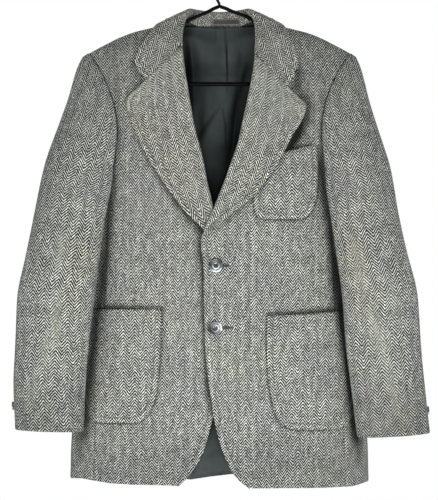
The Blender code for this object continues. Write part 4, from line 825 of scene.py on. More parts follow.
def sleeve_grid(side, stations):
    """Outer points of a whole sleeve, rows down from the armhole, and its wall directions."""
    armhole, armhole_normals = armhole_ring(side)
    along = unit(np.roll(armhole, -1, axis=0) - np.roll(armhole, 1, axis=0))
    away = unit(np.cross(armhole_normals, along))
    opening = place(side * OPENING_CENTRE[0], *OPENING_CENTRE[1:])
    away *= np.sign(np.sum(away * (opening - armhole), axis=-1, keepdims=True))
    start = armhole + away * (2.0 * SEAM_INSET) + armhole_normals * SEAM_RISE
    angles = np.radians(np.array(SLEEVE_ANGLES, dtype=float))
    rings = []
    side_line = armhole + armhole_normals * HUG_EASE
    for hold, (drop, centre_x, span, centre_y, depth, yaw, lean) in zip(HUG_SHARES, SLEEVES[side]):
        turn = math.radians(yaw)
        u = span * np.cos(angles)
        v = depth * np.sin(angles)
        x = centre_x + u * math.cos(turn) + v * math.sin(turn)
        y = centre_y - v * math.cos(turn) + u * math.sin(turn)
        share = np.array(SLEEVE_HUG) * hold
        x = side * x * (1.0 - share) + side_line[:, 0] * share
        y = y * (1.0 - share) + side_line[:, 1] * share
        rings.append(place(x, y, drop - lean * np.cos(angles) + HUG_LOWER * share))
    height = np.clip((CAP_FOOT - drop_of(armhole)) / CAP_HEIGHT, 0.0, 1.0)[:, None]
    outward = unit(start - place(side * CROWN_CENTRE[0], *CROWN_CENTRE[1:]))
    crown = start + (rings[0] - start) * CROWN_BLEND + outward * CROWN_LIFT * (0.1 + 0.9 * height)
    cap = start + (rings[0] - start) * CAP_BLEND + outward * CAP_LIFT * height
    flat = np.stack([start, crown, cap] + rings).reshape(len(SLEEVE_KNOTS), -1)
    grid = [smooth_curve(list(zip(SLEEVE_KNOTS, column)), 1)(stations) for column in flat.T]
    grid = np.stack(grid, axis=1).reshape(len(stations), -1, 3)
    clearance = SLEEVE_CLEAR + (SLEEVE_CLEAR_POCKET - SLEEVE_CLEAR) * ramp(drop_of(grid), *POCKET_LEVEL)
    full = ramp(stations, 0.0, CLEAR_RUN)[:, None]
    grid[1:] = clear_of_body(grid[1:], (SEAM_CLEAR + (clearance - SEAM_CLEAR) * full)[1:])
    normals = grid_normals(grid, wrap=True)
    normals *= np.sign(np.sum(normals * (grid - grid.mean(axis=1, keepdims=True))))
    normals[0] = unit(armhole_normals + normals[0] - away * SEAM_MITRE)
    return grid, normals


def leaf_height(share, edge, roll):
    """Height of a turned-back leaf over the cloth under it, from its fold to its edge."""
    flat = TURN_RADIUS - TWEED / 2.0
    near = share / LAPEL_ROLL_PEAK
    return flat + (edge - flat) * ramp(share, 0.0, 0.8) + roll * near**2 * np.exp(2.0 * (1.0 - near))


def column_curves(rows):
    """A smooth curve for each column of rows that stand evenly from 0 to 1."""
    keys = np.linspace(0.0, 1.0, len(rows))
    return [smooth_curve(list(zip(keys, column)), 1) for column in np.array(rows).T]


def lapel_surface(side):
    """Surface of a lapel: row up the roll, column through the strip (0-1), turn (1-2) and leaf (2-3)."""
    curves = column_curves(LAPELS[side])

    def surface(row, column):
        roll = np.stack([curves[0](row), curves[1](row)], axis=-1)
        edge = np.stack([curves[2](row), curves[3](row)], axis=-1)
        across = unit(edge - roll)
        fold = roll + across * TURN_RADIUS
        length = np.linalg.norm(edge - fold, axis=-1)
        turn = math.pi * np.clip(column - 1.0, 0.0, 1.0)
        share = np.clip(column - 2.0, 0.0, 1.1)
        strip = TURN_UNDER * np.clip(1.0 - column, 0.0, 1.1)
        reach = strip - TURN_RADIUS * np.sin(turn) + length * share
        chart = fold + across * reach[..., None]
        rise = LAPEL_ROLL * ramp(row, 0.15, 0.6)
        low = STRIP_LIFT[side] * np.clip(1.0 - column, 0.0, 1.0) - TWEED / 2.0 - TURN_RADIUS * np.cos(turn)
        height = np.where(column < 2.0, low, leaf_height(share, LAPEL_EDGE[side], rise))
        return on_body(chart[..., 0], chart[..., 1], -1, height, side < 0)

    return surface


def collar_rows():
    """Fold, edge and stand points of the collar from the right gorge to the left gorge."""
    rows = []
    for side in (-1.0, 1.0):
        half_rows = []
        for k, row in enumerate(COLLAR_HALF):
            fold_x, fold_y, fold_drop, edge_x, edge_y, edge_drop, stand_x, stand_y, stand_drop = row
            if fold_y is None:
                if side > 0:
                    fade = 1.0 - k / NECK_ROWS
                    gorge, _, tip = COLLAR_ENDS[1]
                    fold_x += (gorge[0] + TURN_RADIUS - COLLAR_HALF[0][0]) * fade
                    fold_drop += (gorge[1] - COLLAR_HALF[0][2]) * fade
                    edge_x += (tip[0] - COLLAR_HALF[0][3]) * fade
                    edge_drop += (tip[1] - COLLAR_HALF[0][5]) * fade
                chart = np.array([side * fold_x, fold_drop])
                leaf = unit(np.array([side * edge_x, edge_drop]) - chart)
                fold = on_body(*chart, -1, -TWEED / 2.0)
                edge = on_body(side * edge_x, edge_drop, -1, COLLAR_EDGE_CLEAR)
                stand = on_body(*(chart + leaf * TURN_UNDER), -1, -TWEED / 2.0 - TURN_RADIUS)
            else:
                fold = place(side * fold_x, fold_y, fold_drop)
                edge = place(side * edge_x, edge_y, edge_drop)
                stand = place(side * stand_x, stand_y, stand_drop)
            half_rows.append(np.concatenate([fold, edge, stand]))
        rows += half_rows if side < 0 else half_rows[::-1][1:]
    return np.array(rows)


def collar_surface(row, column):
    """Point of the collar: row from gorge to gorge, column stand (0-1), turn (1-2), leaf (2-3)."""
    values = np.stack([curve(np.clip(row, 0.0, 1.0)) for curve in COLLAR_CURVES], axis=-1)
    fold, edge, stand = values[..., 0:3], values[..., 3:6], values[..., 6:9]
    middle = -unit(unit(stand - fold) + unit(edge - fold))
    inward = stand - fold
    inward = unit(inward - np.sum(inward * middle, axis=-1, keepdims=True) * middle)
    start = fold + inward * TURN_RADIUS
    finish = fold - inward * TURN_RADIUS
    turn = (math.pi * np.clip(column - 1.0, 0.0, 1.0))[..., None]
    arc = fold + TURN_RADIUS * (inward * np.cos(turn) + middle * np.sin(turn))
    strip = stand + (start - stand) * np.clip(column, 0.0, 1.0)[..., None]
    share = np.clip(column - 2.0, 0.0, 1.05)
    wide = share[..., None]
    length = np.linalg.norm(edge - finish, axis=-1, keepdims=True)
    hollow = middle * COLLAR_HOLLOW + inward * COLLAR_DIP
    leaf = finish + (edge - finish) * wide - hollow * length * wide * (1.0 - wide)
    for side, (gorge, notch, tip) in COLLAR_ENDS.items():
        nearness = 1.0 - ramp(row if side < 0 else 1.0 - row, 0.0, NOTCH_ROWS)
        along = np.clip(share / (NOTCH_STEP - 2.0), 0.0, 1.0)
        past = np.clip((share - (NOTCH_STEP - 2.0)) / (3.0 - NOTCH_STEP), 0.0, 1.0)
        x = gorge[0] + (notch[0] - gorge[0]) * along + (tip[0] - notch[0]) * past
        drop = gorge[1] + (notch[1] - gorge[1]) * along + (tip[1] - notch[1]) * past
        target = on_body(x, drop, -1, leaf_height(share, LAPEL_EDGE[side], LAPEL_ROLL))
        leaf = leaf + (target - leaf) * nearness[..., None] * ramp(wide, 0.0, 0.12)
    leaf = clear_of_body(leaf, COLLAR_CLEAR * ramp(share, -0.3, 0.15))
    points = np.where(column[..., None] < 1.0, strip, arc)
    return np.where(column[..., None] > 2.0, leaf, points)


def hanger_drop(x):
    """Drop of the hanger's arm under the shoulder."""
    inner = min(x, HANGER_BEND) * math.tan(math.radians(HANGER_SLOPE))
    outer = max(x - HANGER_BEND, 0.0) * math.tan(math.radians(HANGER_SLOPE_OUT))
    return HANGER_APEX_DROP + inner + outer


COLLAR_CURVES = column_curves(collar_rows())


# ---------------------------------------------------------------- materials
class Graph:
    """Small helper that adds shader nodes to one material. Colours are red, green and blue."""

    def __init__(self, name):
        self.material = bpy.data.materials.new(name)
        self.material.use_nodes = True
        self.tree = self.material.node_tree

    def fill(self, made, sockets):
        """Links or sets a node's inputs, and returns its outputs."""
        for key, value in sockets.items():
            socket = made.inputs[key]
            if hasattr(value, "is_linked"):
                self.tree.links.new(value, socket)
            else:
                socket.default_value = (*value, 1.0) if socket.type == "RGBA" else value
        return made.outputs

    def node(self, kind, sockets, **settings):
        made = self.tree.nodes.new("ShaderNode" + kind)
        for key, value in settings.items():
            setattr(made, key, value)
        return self.fill(made, sockets)

    def weave(self):
        return self.node("UVMap", {}, uv_map="weave")[0]

    def spot(self):
        return self.node("TexCoord", {})["Object"]

    def attribute(self, name):
        return self.node("Attribute", {}, attribute_name=name)["Fac"]

    def split(self, vector):
        return self.node("SeparateXYZ", {0: vector})

    def stretch(self, vector, scale):
        return self.node("Mapping", {"Vector": vector, "Scale": scale})[0]

    def math(self, operation, *terms):
        return self.node("Math", dict(enumerate(terms)), operation=operation)[0]

    def times(self, a, b):
        return self.math("MULTIPLY", a, b)

    def scaled(self, value, factor, shift):
        return self.math("MULTIPLY_ADD", value, factor, shift)

    def band(self, value, start, stop, fade):
        """1 between start and stop, with soft flanks that begin there."""
        rise = self.ramp(value, start, start + fade)
        return self.math("SUBTRACT", rise, self.ramp(value, stop, stop + fade))

    def ramp(self, value, low, high):
        sockets = {"Value": value, "From Min": low, "From Max": high}
        return self.node("MapRange", sockets, interpolation_type="SMOOTHSTEP", clamp=True)[0]

    def noise(self, vector, scale, detail=2.0, roughness=0.5):
        sockets = {"Vector": vector, "Scale": scale, "Detail": detail, "Roughness": roughness}
        return self.node("TexNoise", sockets)

    def mix(self, factor, a, b, blend="MIX"):
        return self.node("Mix", {0: factor, 6: a, 7: b}, data_type="RGBA", blend_type=blend)[2]

    def tint(self, colour, by):
        """A colour multiplied by another, or by one grey value."""
        return self.mix(1.0, colour, by if isinstance(by, tuple) else (by, by, by), "MULTIPLY")

    def finish(self, colour, rough, height, distance, strength, sockets):
        """Sets the material's surface, with a bump of the given height field."""
        bump = self.node("Bump", {"Height": height, "Distance": distance, "Strength": strength})[0]
        surface = {"Base Color": colour, "Roughness": rough, "Normal": bump}
        self.fill(self.tree.nodes["Principled BSDF"], {**surface, **sockets})
        return self.material


def tweed_material(name, light, dark, blur, fuzz, seed, stitch, stain, slope):
    """Woollen herringbone from the weave map (metres): zigzag wales of light on dark yarn."""
    g = Graph(name)
    chart = g.weave()
    spot = g.node("VectorMath", {0: chart, 1: (seed * 0.37, seed * 0.73, 0.0)}, operation="ADD")[0]
    slow = g.split(g.noise(spot, 55.0)[1])
    fast = g.split(g.noise(spot, 420.0)[1])
    metres = g.split(chart)
    moved = []
    for axis in (0, 1):
        wander = g.scaled(slow[axis], 2.0 * YARN_WANDER, -YARN_WANDER)
        wobble = g.scaled(fast[axis], 1.5 * blur, -0.75 * blur)
        moved.append(g.math("ADD", g.math("ADD", g.times(metres[axis], 1000.0), wander), wobble))
    across, down = moved
    turn = g.math("MODULO", g.math("FLOOR", g.math("ADD", g.math("DIVIDE", across, WALE), 400.0)), 2.0)
    climb = g.scaled(g.math("PINGPONG", across, WALE), slope, down)
    phase = g.math("ADD", g.math("DIVIDE", climb, RIB), g.times(turn, WALE_SHIFT))
    wave = g.math("SINE", g.times(phase, 2.0 * math.pi))
    fibre = g.noise(spot, 1500.0, 3.0, 0.65)[0]
    yarn = g.noise(spot, 520.0, 2.0, 0.6)[0]
    level = g.math("ADD", g.scaled(wave, 0.5, 0.5), g.scaled(fibre, 0.3 * fuzz, -0.15 * fuzz))
    level = g.math("ADD", level, g.scaled(yarn, 1.2 * fuzz, -0.6 * fuzz))
    mask = g.ramp(level, *LIGHT_YARN)
    colour = g.mix(mask, dark, light)
    # Painted sheen: wales of one slant lighter than those of the other, where the light catches their twill.
    colour = g.mix(turn, g.tint(colour, 1.04), g.tint(colour, 0.95))
    lump = g.ramp(g.noise(spot, 300.0, 2.0, 0.6)[0], 0.38, 0.62)
    colour = g.mix(lump, g.tint(colour, 0.48), colour)
    mottle = g.ramp(g.noise(g.stretch(spot, (1.25, 0.42, 1.0)), 125.0, 3.0, 0.62)[0], 0.37, 0.63)
    colour = g.mix(mottle, g.tint(colour, 0.74), g.tint(colour, 1.18))
    tone = g.ramp(g.noise(spot, 14.0, 3.0)[0], 0.28, 0.72)
    colour = g.mix(tone, g.tint(colour, (0.88, 0.88, 0.90)), g.tint(colour, (1.0, 1.0, 0.95)))
    fleck = g.ramp(g.noise(spot, 300.0, 2.0, 0.7)[0], 0.62, 0.72)
    colour = g.mix(g.times(fleck, 0.30), colour, FLECK)
    if stain > 0.0:
        warm = g.ramp(g.noise(g.stretch(spot, (16.0, 3.2, 1.0)), 1.0)[0], 0.52, 0.68)
        colour = g.mix(g.times(warm, stain * 3.0), colour, g.tint(colour, (1.0, 0.97, 0.86)))
    rubbed = g.times(g.attribute("wear"), g.scaled(lump, 0.40, 0.28))
    colour = g.mix(rubbed, colour, RUBBED)
    thick = g.ramp(g.noise(g.stretch(spot, (85.0, 5.0, 1.0)), 1.0, 2.0, 0.6)[0], 0.32, 0.68)
    colour = g.mix(g.times(thick, 0.34), colour, g.tint(colour, (0.56, 0.56, 0.58)))
    # Painted shade where cloth lies on cloth, and toward the shoulders, the hem and the cuffs.
    colour = g.mix(g.attribute("shade"), colour, g.tint(colour, 0.05))
    edge = g.attribute("edge")
    groove = g.band(edge, stitch - GROOVE, stitch, GROOVE)
    worn = g.math("SUBTRACT", 1.0, g.ramp(edge, 0.0, 2.2))
    # Painted shade in the groove that the topstitching pulls in.
    colour = g.mix(g.times(groove, 0.42), colour, GROOVE_SHADE)
    colour = g.mix(g.times(worn, 0.07), colour, WORN_EDGE)
    # Painted highlight on the swelled band between the edge and the stitching.
    swell_highlight = g.band(edge, 1.2, stitch - 2.4, 2.0)
    colour = g.mix(g.times(swell_highlight, 0.3), colour, g.tint(colour, (1.35, 1.35, 1.30)))
    height = g.scaled(groove, -2.4, g.scaled(mask, 0.35, g.times(fibre, 0.75)))
    sheen = {"Sheen Weight": 0.04, "Sheen Roughness": 0.55, "Sheen Tint": (0.86, 0.86, 0.80)}
    rough = g.scaled(fibre, 0.12, 0.86)
    return g.finish(colour, rough, height, 0.0006, 0.65, {"Specular IOR Level": 0.08, **sheen})


def lining_material(name):
    """Satin lining: a fine twill, with soft watered variation."""
    g = Graph(name)
    chart = g.weave()
    metres = g.split(chart)
    diagonal = g.math("ADD", g.times(metres[0], 1500.0), g.times(metres[1], 2100.0))
    twill = g.math("SINE", g.times(diagonal, 2.0))
    tone = g.noise(chart, 9.0, 3.0)[0]
    grain = g.noise(chart, 900.0)[0]
    colour = g.mix(g.ramp(tone, 0.3, 0.7), LINING_DARK, LINING_LIGHT)
    colour = g.mix(g.times(grain, 0.25), colour, LINING_DARK)
    # Painted shade in the lining's folds, along its pleat and near the fronts.
    colour = g.mix(g.attribute("shade"), colour, LINING_SHADED)
    sockets = {"Sheen Weight": 0.06, "Specular IOR Level": 0.14}
    return g.finish(colour, g.scaled(grain, 0.16, 0.42), g.scaled(twill, 0.5, grain), 0.00012, 0.5, sockets)


def label_material(name):
    """Plain woven label, with a paler border and ribs along its length."""
    g = Graph(name)
    chart = g.weave()
    rib = g.math("SINE", g.times(g.split(chart)[1], 9000.0))
    grain = g.noise(chart, 1600.0)[0]
    border = g.band(g.attribute("edge"), 0.5, 1.3, 0.3)
    colour = g.mix(g.times(border, 0.7), g.mix(grain, LABEL_DARK, LABEL_LIGHT), LABEL_BORDER)
    return g.finish(colour, g.scaled(grain, 0.2, 0.5), g.scaled(rib, 0.3, grain), 0.0001, 0.5, {})


def button_material(name):
    """Smoky pearl: cloudy bands of grey with a polished coat, over a painted highlight and painted shade."""
    g = Graph(name)
    cloud = g.noise(g.spot(), 90.0, 4.0, 0.6)
    swirl = g.noise(cloud[1], 5.0, 3.0)[0]
    # Painted highlight and painted shade from the shade attribute, broken up by the swirl.
    painted_gleam = g.math("ADD", g.attribute("shade"), g.scaled(swirl, 0.5, -0.25))
    colour = g.mix(g.ramp(painted_gleam, 0.20, 0.62), PEARL_DARK, PEARL_GREY)
    colour = g.mix(g.ramp(painted_gleam, 0.66, 0.88), colour, PEARL_PAINTED_HIGHLIGHT)
    coat = {"Coat Weight": 0.6, "Coat Roughness": 0.08}
    return g.finish(colour, g.scaled(swirl, 0.12, 0.14), cloud[0], 0.0001, 0.25, coat)


def thread_material(name, colour):
    """Twisted sewing thread."""
    g = Graph(name)
    twist = g.noise(g.spot(), 2600.0)[0]
    colour = g.mix(twist, tuple(0.6 * part for part in colour), colour)
    return g.finish(colour, g.scaled(twist, 0.2, 0.6), twist, 0.0002, 0.5, {"Sheen Weight": 0.2})


def hanger_material(name):
    """Black dipped wire, a little scuffed."""
    g = Graph(name)
    scuff = g.noise(g.spot(), 160.0, 4.0, 0.7)[0]
    worn = g.ramp(scuff, 0.55, 0.75)
    colour = g.mix(worn, WIRE_BLACK, WIRE_SCUFFED)
    return g.finish(colour, g.scaled(worn, 0.22, 0.46), scuff, 0.0002, 0.3, {"Specular IOR Level": 0.06})


def floor_material(name):
    """Matt white paint with a little light of its own."""
    g = Graph(name)
    tone = g.noise(g.spot(), 0.7)[0]
    colour = g.mix(tone, (0.88, 0.88, 0.88), (0.94, 0.94, 0.94))
    glow = {"Base Color": colour, "Roughness": 0.9, "Emission Color": (1.0, 1.0, 1.0)}
    glow["Emission Strength"] = 0.5
    g.fill(g.tree.nodes["Principled BSDF"], glow)
    return g.material


MATERIALS = {key: tweed_material("tweed_" + key, *look) for key, look in TWEEDS.items()}
MATERIALS["lining"] = lining_material("satin_lining")
MATERIALS["label"] = label_material("woven_label")
MATERIALS["button"] = button_material("smoky_pearl")
MATERIALS["thread"] = thread_material("thread_grey", THREAD_GREY)
MATERIALS["thread_dark"] = thread_material("thread_dark", THREAD_DARK)
MATERIALS["hanger"] = hanger_material("black_wire")


# ---------------------------------------------------------------- fine sheets
def refine(grid, row_cuts, column_cuts, wrap=False):
    """Resamples a grid of points along smooth curves: cuts new steps in each old one."""

    def spline(points, cuts, loop):
        count = len(points)
        steps = cuts if hasattr(cuts, "__len__") else [cuts] * count
        out = []
        for k in range(count if loop else count - 1):
            before = points[(k - 1) % count] if loop or k > 0 else 2.0 * points[0] - points[1]
            start, stop = points[k], points[(k + 1) % count]
            after = points[(k + 2) % count] if loop or k < count - 2 else 2.0 * points[-1] - points[-2]
            here, left, right = (
                np.linalg.norm(step, axis=-1, keepdims=True) + 1e-6
                for step in (stop - start, start - before, after - stop)
            )
            slope_a = here * ((start - before) / left * here + (stop - start) / here * left) / (left + here)
            slope_b = here * ((stop - start) / here * right + (after - stop) / right * here) / (right + here)
            for t in np.arange(steps[k]) / steps[k]:
                cubic = (2 * t**3 - 3 * t**2 + 1) * start + (t**3 - 2 * t**2 + t) * slope_a
                out.append(cubic + (3 * t**2 - 2 * t**3) * stop + (t**3 - t**2) * slope_b)
        return np.array(out if loop else out + [points[-1]])

    grid = spline(np.asarray(grid, dtype=float), row_cuts, False)
    return spline(grid.swapaxes(0, 1), column_cuts, wrap).swapaxes(0, 1)


def refined(x, drop, row_cuts, column_cuts):
    """x and drop of a finer grid."""
    grid = refine(np.stack([x, drop], axis=-1), row_cuts, column_cuts)
    return grid[..., 0], grid[..., 1]


def cuts_for(values, step):
    """Number of equal cuts that bring the steps between values down to about one step."""
    return [max(1, int(math.ceil(abs(b - a) / step))) for a, b in zip(values[:-1], values[1:])]


def strokes(x, drop, table):
    """Height of listed folds. Each runs from one point to another and fades at both ends."""
    total = np.zeros(np.broadcast(x, drop).shape)
    for x0, d0, x1, d1, bow, near, far, height in table:
        length = math.hypot(x1 - x0, d1 - d0)
        ux, ud = (x1 - x0) / length, (d1 - d0) / length
        along = ((x - x0) * ux + (drop - d0) * ud) / length
        aside = (x - x0) * -ud + (drop - d0) * ux - bow * 4.0 * along * (1.0 - along)
        window = ramp(along, -0.05, 0.35) * (1.0 - ramp(along, 0.62, 1.05))
        total = total + height * window * bell(aside, np.where(aside < 0.0, near, far))
    return total


def ripple(x, drop, seed, height):
    """Slow unevenness of cloth that has hung and been worn."""
    total = 0.0
    for k, (wave, turn) in enumerate(RIPPLES):
        phase = (x * math.cos(turn + seed) + 0.6 * drop * math.sin(turn + seed)) / wave
        total = total + np.sin(2.0 * math.pi * phase + 1.7 * k + 3.1 * seed) * (wave / 97.0)
    return height * total / 3.7


def cast(x, drop, lines):
    """Share of painted shade near lines of (x, drop, width, strength), where cloth lies on cloth."""
    light = np.ones(np.shape(x))
    for line in lines:
        line = np.array(line, dtype=float)
        nearest = np.full(np.shape(x), 1e9)
        dark = np.zeros(np.shape(x))
        for a, b in zip(line[:-1], line[1:]):
            span = b[:2] - a[:2]
            size = max(np.dot(span, span), 1e-9)
            t = np.clip(((x - a[0]) * span[0] + (drop - a[1]) * span[1]) / size, 0.0, 1.0)
            gap = np.hypot(x - a[0] - t * span[0], drop - a[1] - t * span[1])
            width, strength = np.moveaxis(a + (b - a) * t[..., None], -1, 0)[2:]
            closer = gap < nearest
            dark = np.where(closer, strength * bell(gap, width), dark)
            nearest = np.where(closer, gap, nearest)
        light = light * (1.0 - np.clip(dark, 0.0, 1.0))
    return 1.0 - light


def arc_from_centre(x, drop, face):
    """Signed length of the body form's level section from the centre line out to x."""
    xs = x[..., None] * np.linspace(0.0, 1.0, 49)
    depth = signed_depth(xs, drop[..., None], face)
    return np.sign(x) * np.hypot(np.diff(xs, axis=-1), np.diff(depth, axis=-1)).sum(axis=-1)


def run_lengths(points, axis):
    """Length along a grid's rows or columns from its first line."""
    steps = np.linalg.norm(np.diff(points, axis=axis), axis=-1)
    start = np.zeros_like(np.take(steps, [0], axis=axis))
    return np.cumsum(np.concatenate([start, steps], axis=axis), axis=axis)


def at_run(run, lengths, line):
    """Points of a line at the given lengths along it."""
    return np.stack([np.interp(run, lengths, column) for column in np.asarray(line).T], axis=-1)


def edge_distance(points, lines):
    """Distance of each grid point from the given finished edges, capped at EDGE_FAR."""
    flat = points.reshape(-1, 3)
    best = np.full(len(flat), EDGE_FAR)
    for line in lines:
        start, span = line[:-1], line[1:] - line[:-1]
        size = np.maximum(np.sum(span * span, axis=-1), 1e-9)
        for first in range(0, len(flat), 4000):
            chunk = slice(first, first + 4000)
            off = flat[chunk, None, :] - start
            t = np.clip(np.sum(off * span, axis=-1) / size, 0.0, 1.0)
            gap = np.linalg.norm(off - t[..., None] * span, axis=-1).min(axis=1)
            best[chunk] = np.minimum(best[chunk], gap)
    return best.reshape(points.shape[:2])


def make_mesh(name, vertices, faces, materials, slots=None, chart=None, fields=()):
    """Adds a mesh object in metres from millimetre vertices, with a value a vertex for each field."""
    mesh = bpy.data.meshes.new(name)
    vertices = np.asarray(vertices, dtype=float) * MM
    flat = np.concatenate([np.asarray(face) for face in faces])
    starts = sums([len(face) for face in faces])[:-1]
    mesh.vertices.add(len(vertices))
    mesh.vertices.foreach_set("co", vertices.reshape(-1))
    mesh.loops.add(len(flat))
    mesh.loops.foreach_set("vertex_index", flat.astype(np.int32))
    mesh.polygons.add(len(faces))
    mesh.polygons.foreach_set("loop_start", starts.astype(np.int32))
    mesh.update(calc_edges=True)
    mesh.polygons.foreach_set("use_smooth", np.full(len(faces), True))
    for material in materials:
        mesh.materials.append(MATERIALS[material])
    if slots is not None:
        mesh.polygons.foreach_set("material_index", slots)
    if chart is not None:
        layer = mesh.uv_layers.new(name="weave")
        layer.data.foreach_set("uv", (chart[flat] * MM).reshape(-1))
    for kind, values in dict(fields).items():
        attribute = mesh.attributes.new(kind, "FLOAT", "POINT")
        attribute.data.foreach_set("value", np.asarray(values, dtype=np.float32))
    mesh.validate()
    item = bpy.data.objects.new(name, mesh)
    bpy.context.scene.collection.objects.link(item)
    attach(item, "root")
    return item


def painted_panel_shade(kind, points):
    """Painted shade on the large panels, darker toward the shoulders, the hem and the cuffs."""
    drop = drop_of(points)
    if kind not in ("body", "sleeve"):
        return 0.0 * drop
    dark = 0.15 * (1.0 - ramp(drop, 60.0, 330.0)) + 0.24 * ramp(drop, 680.0, 770.0)
    return dark + 0.28 * ramp(drop, 540.0, 700.0) if kind == "sleeve" else dark


def cloth(name, points, normals, thickness, chart, materials, edge=EDGE_FAR, inner=False, soft=(),
          shade=0.0, wear=None):
    """Adds a closed cloth wall under a grid of points. inner marks the inside cells of slot 1."""
    shape = points.shape[:2]
    count = points[..., 0].size
    lower = points - normals * thickness
    upper = points.copy()
    for border in soft:
        upper[border] = points[border] - normals[border] * SOFT_TOP * thickness
        lower[border] = points[border] - normals[border] * SOFT_FOOT * thickness
    ids = np.arange(count).reshape(shape)
    top = np.stack([ids[:-1, :-1], ids[:-1, 1:], ids[1:, 1:], ids[1:, :-1]], axis=-1).reshape(-1, 4)
    flat = upper.reshape(-1, 3)
    facing = np.cross(flat[top[:, 1]] - flat[top[:, 0]], flat[top[:, 3]] - flat[top[:, 0]])
    outward = np.sum(facing * normals.reshape(-1, 3)[top[:, 0]]) > 0.0
    if not outward:
        top = top[:, ::-1]
    faces = [top, top[:, ::-1] + count]
    rims = [(ids[0, :-1], ids[0, 1:]), (ids[-1, 1:], ids[-1, :-1])]
    rims += [(ids[1:, 0], ids[:-1, 0]), (ids[:-1, -1], ids[1:, -1])]
    for first, second in rims:
        rim = np.stack([first, second, second + count, first + count], axis=-1)
        faces.append(rim[:, ::-1] if outward else rim)
    faces = np.concatenate(faces)
    slots = np.zeros(len(faces), dtype=np.int32)
    slots[len(top):2 * len(top)] = np.broadcast_to(inner, shape).reshape(-1)[top].all(axis=1)
    fields = {"edge": edge, "shade": 1.0 - (1.0 - shade) * (1.0 - painted_panel_shade(materials[0], points))}
    if wear is not None:
        fields["wear"] = wear
    fields = {kind: np.tile(np.broadcast_to(values, shape).reshape(-1), 2) for kind, values in fields.items()}
    chart = np.tile(chart.reshape(-1, 2), (2, 1))
    vertices = np.concatenate([flat, lower.reshape(-1, 3)])
    return make_mesh(name, vertices, faces, materials, slots, chart, fields)


def raise_grid(points, normals, height):
    """Moves a grid along its normals and works its normals out again."""
    moved = points + normals * height[..., None]
    fresh = grid_normals(moved)
    fresh *= np.sign(np.sum(fresh * normals))
    return moved, fresh


def front_relief(x, drop):
    """Height of the folds on a front."""
    return strokes(x, drop, FRONT_FOLDS) + ripple(x, drop, 1.3, 0.45)


def front_point(x, drop, off):
    """Point on the over front's finished surface."""
    x = np.asarray(x, dtype=float)
    drop = np.asarray(drop, dtype=float)
    return on_body(x, drop, -1, np.asarray(off) + front_relief(x, drop))


def raise_hem(points, drop, face):
    """Lifts the hem by its uneven hang, fading out up the panel."""
    table = np.array(HEM_RISE[face])
    points[..., 2] += np.interp(points[..., 0], table[:, 0], table[:, 1]) * ramp(drop, *HEM_FADE)
    return points


def pocket_line(table):
    """Painted shadow line round the sides and foot of a pocket."""
    outer = [(row[2], row[0], *OUTLINE_SHADE) for row in table[::-1]]
    return outer + [(row[1], row[0], *OUTLINE_SHADE) for row in table]


def cloths(side, *names):
    """Names of the cloths of one side."""
    return [f"{name}_{TAGS[side]}_cloth" for name in names]


def piece(node, flat, held, rests_on, *form, **looks):
    """Adds the cloth for a solid and stands it for the solid."""
    item = cloth(node + "_cloth", *form, **looks)
    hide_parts(node)


def iso_lines(points, normals, field, level):
    """Lines on a grid where a field has one value: points and normals, in order."""
    crossings = {}

    def cross(a, b):
        key = (a, b) if a < b else (b, a)
        if key not in crossings:
            t = (level - field[a]) / (field[b] - field[a])
            spot = points[a] + (points[b] - points[a]) * t
            crossings[key] = (spot, normals[a] + (normals[b] - normals[a]) * t)
        return key

    links = {}
    rows, columns = field.shape
    high = field > level
    for r in range(rows - 1):
        for c in range(columns - 1):
            ring = ((r, c), (r, c + 1), (r + 1, c + 1), (r + 1, c), (r, c))
            keys = [cross(a, b) for a, b in zip(ring[:-1], ring[1:]) if high[a] != high[b]]
            for a, b in zip(keys[0::2], keys[1::2]):
                links.setdefault(a, []).append(b)
                links.setdefault(b, []).append(a)
    lines = []
    seen = set()
    ends = [key for key, near in links.items() if len(near) == 1]
    for start in ends + list(links):
        line = []
        ahead = [start] if start not in seen else []
        while ahead:
            line.append(ahead[0])
            seen.add(ahead[0])
            ahead = [key for key in links[line[-1]] if key not in seen]
        if len(line) > 8:
            spots, facing = zip(*(crossings[key] for key in line))
            lines.append((np.array(spots), unit(facing)))
    return lines


def ring_faces(base, rings, sides):
    """Faces of a tube of rings, closed at both ends."""
    faces = []
    for k in range(rings - 1):
        for n in range(sides):
            a, b = base + k * sides, base + (k + 1) * sides
            m = (n + 1) % sides
            faces.append((a + n, a + m, b + m, b + n))
    faces.append(tuple(range(base, base + sides))[::-1])
    last = base + (rings - 1) * sides
    faces.append(tuple(range(last, last + sides)))
    return faces


def stitches(node, points, normals, edge, row):
    """Short raised stitches on the cloth, in lines at one distance from its edge."""
    distance, length, radius = row
    vertices, faces = [], []
    spin = np.arange(6) / 6.0 * 2.0 * math.pi
    for line, facing in iso_lines(points, normals, edge, distance):
        run = sums(np.linalg.norm(np.diff(line, axis=0), axis=1))
        for start in np.arange(1.0, run[-1] - length, STITCH_PITCH):
            spots = start + np.array(STITCH_SPOTS) * length
            centre = at_run(spots, run, line)
            lift = unit(at_run(spots, run, facing))
            side = unit(np.cross(lift, unit(centre[-1] - centre[0])))
            centre = centre + lift * (np.array(STITCH_RISE) * radius - STITCH_SINK)[:, None]
            faces += ring_faces(len(vertices), len(spots), len(spin))
            for k, size in enumerate(STITCH_SIZE):
                ring = np.cos(spin)[:, None] * side[k] + np.sin(spin)[:, None] * lift[k]
                vertices.extend(centre[k] + size * radius * ring)
    make_mesh(node + "_stitches", vertices, faces, ["thread"])


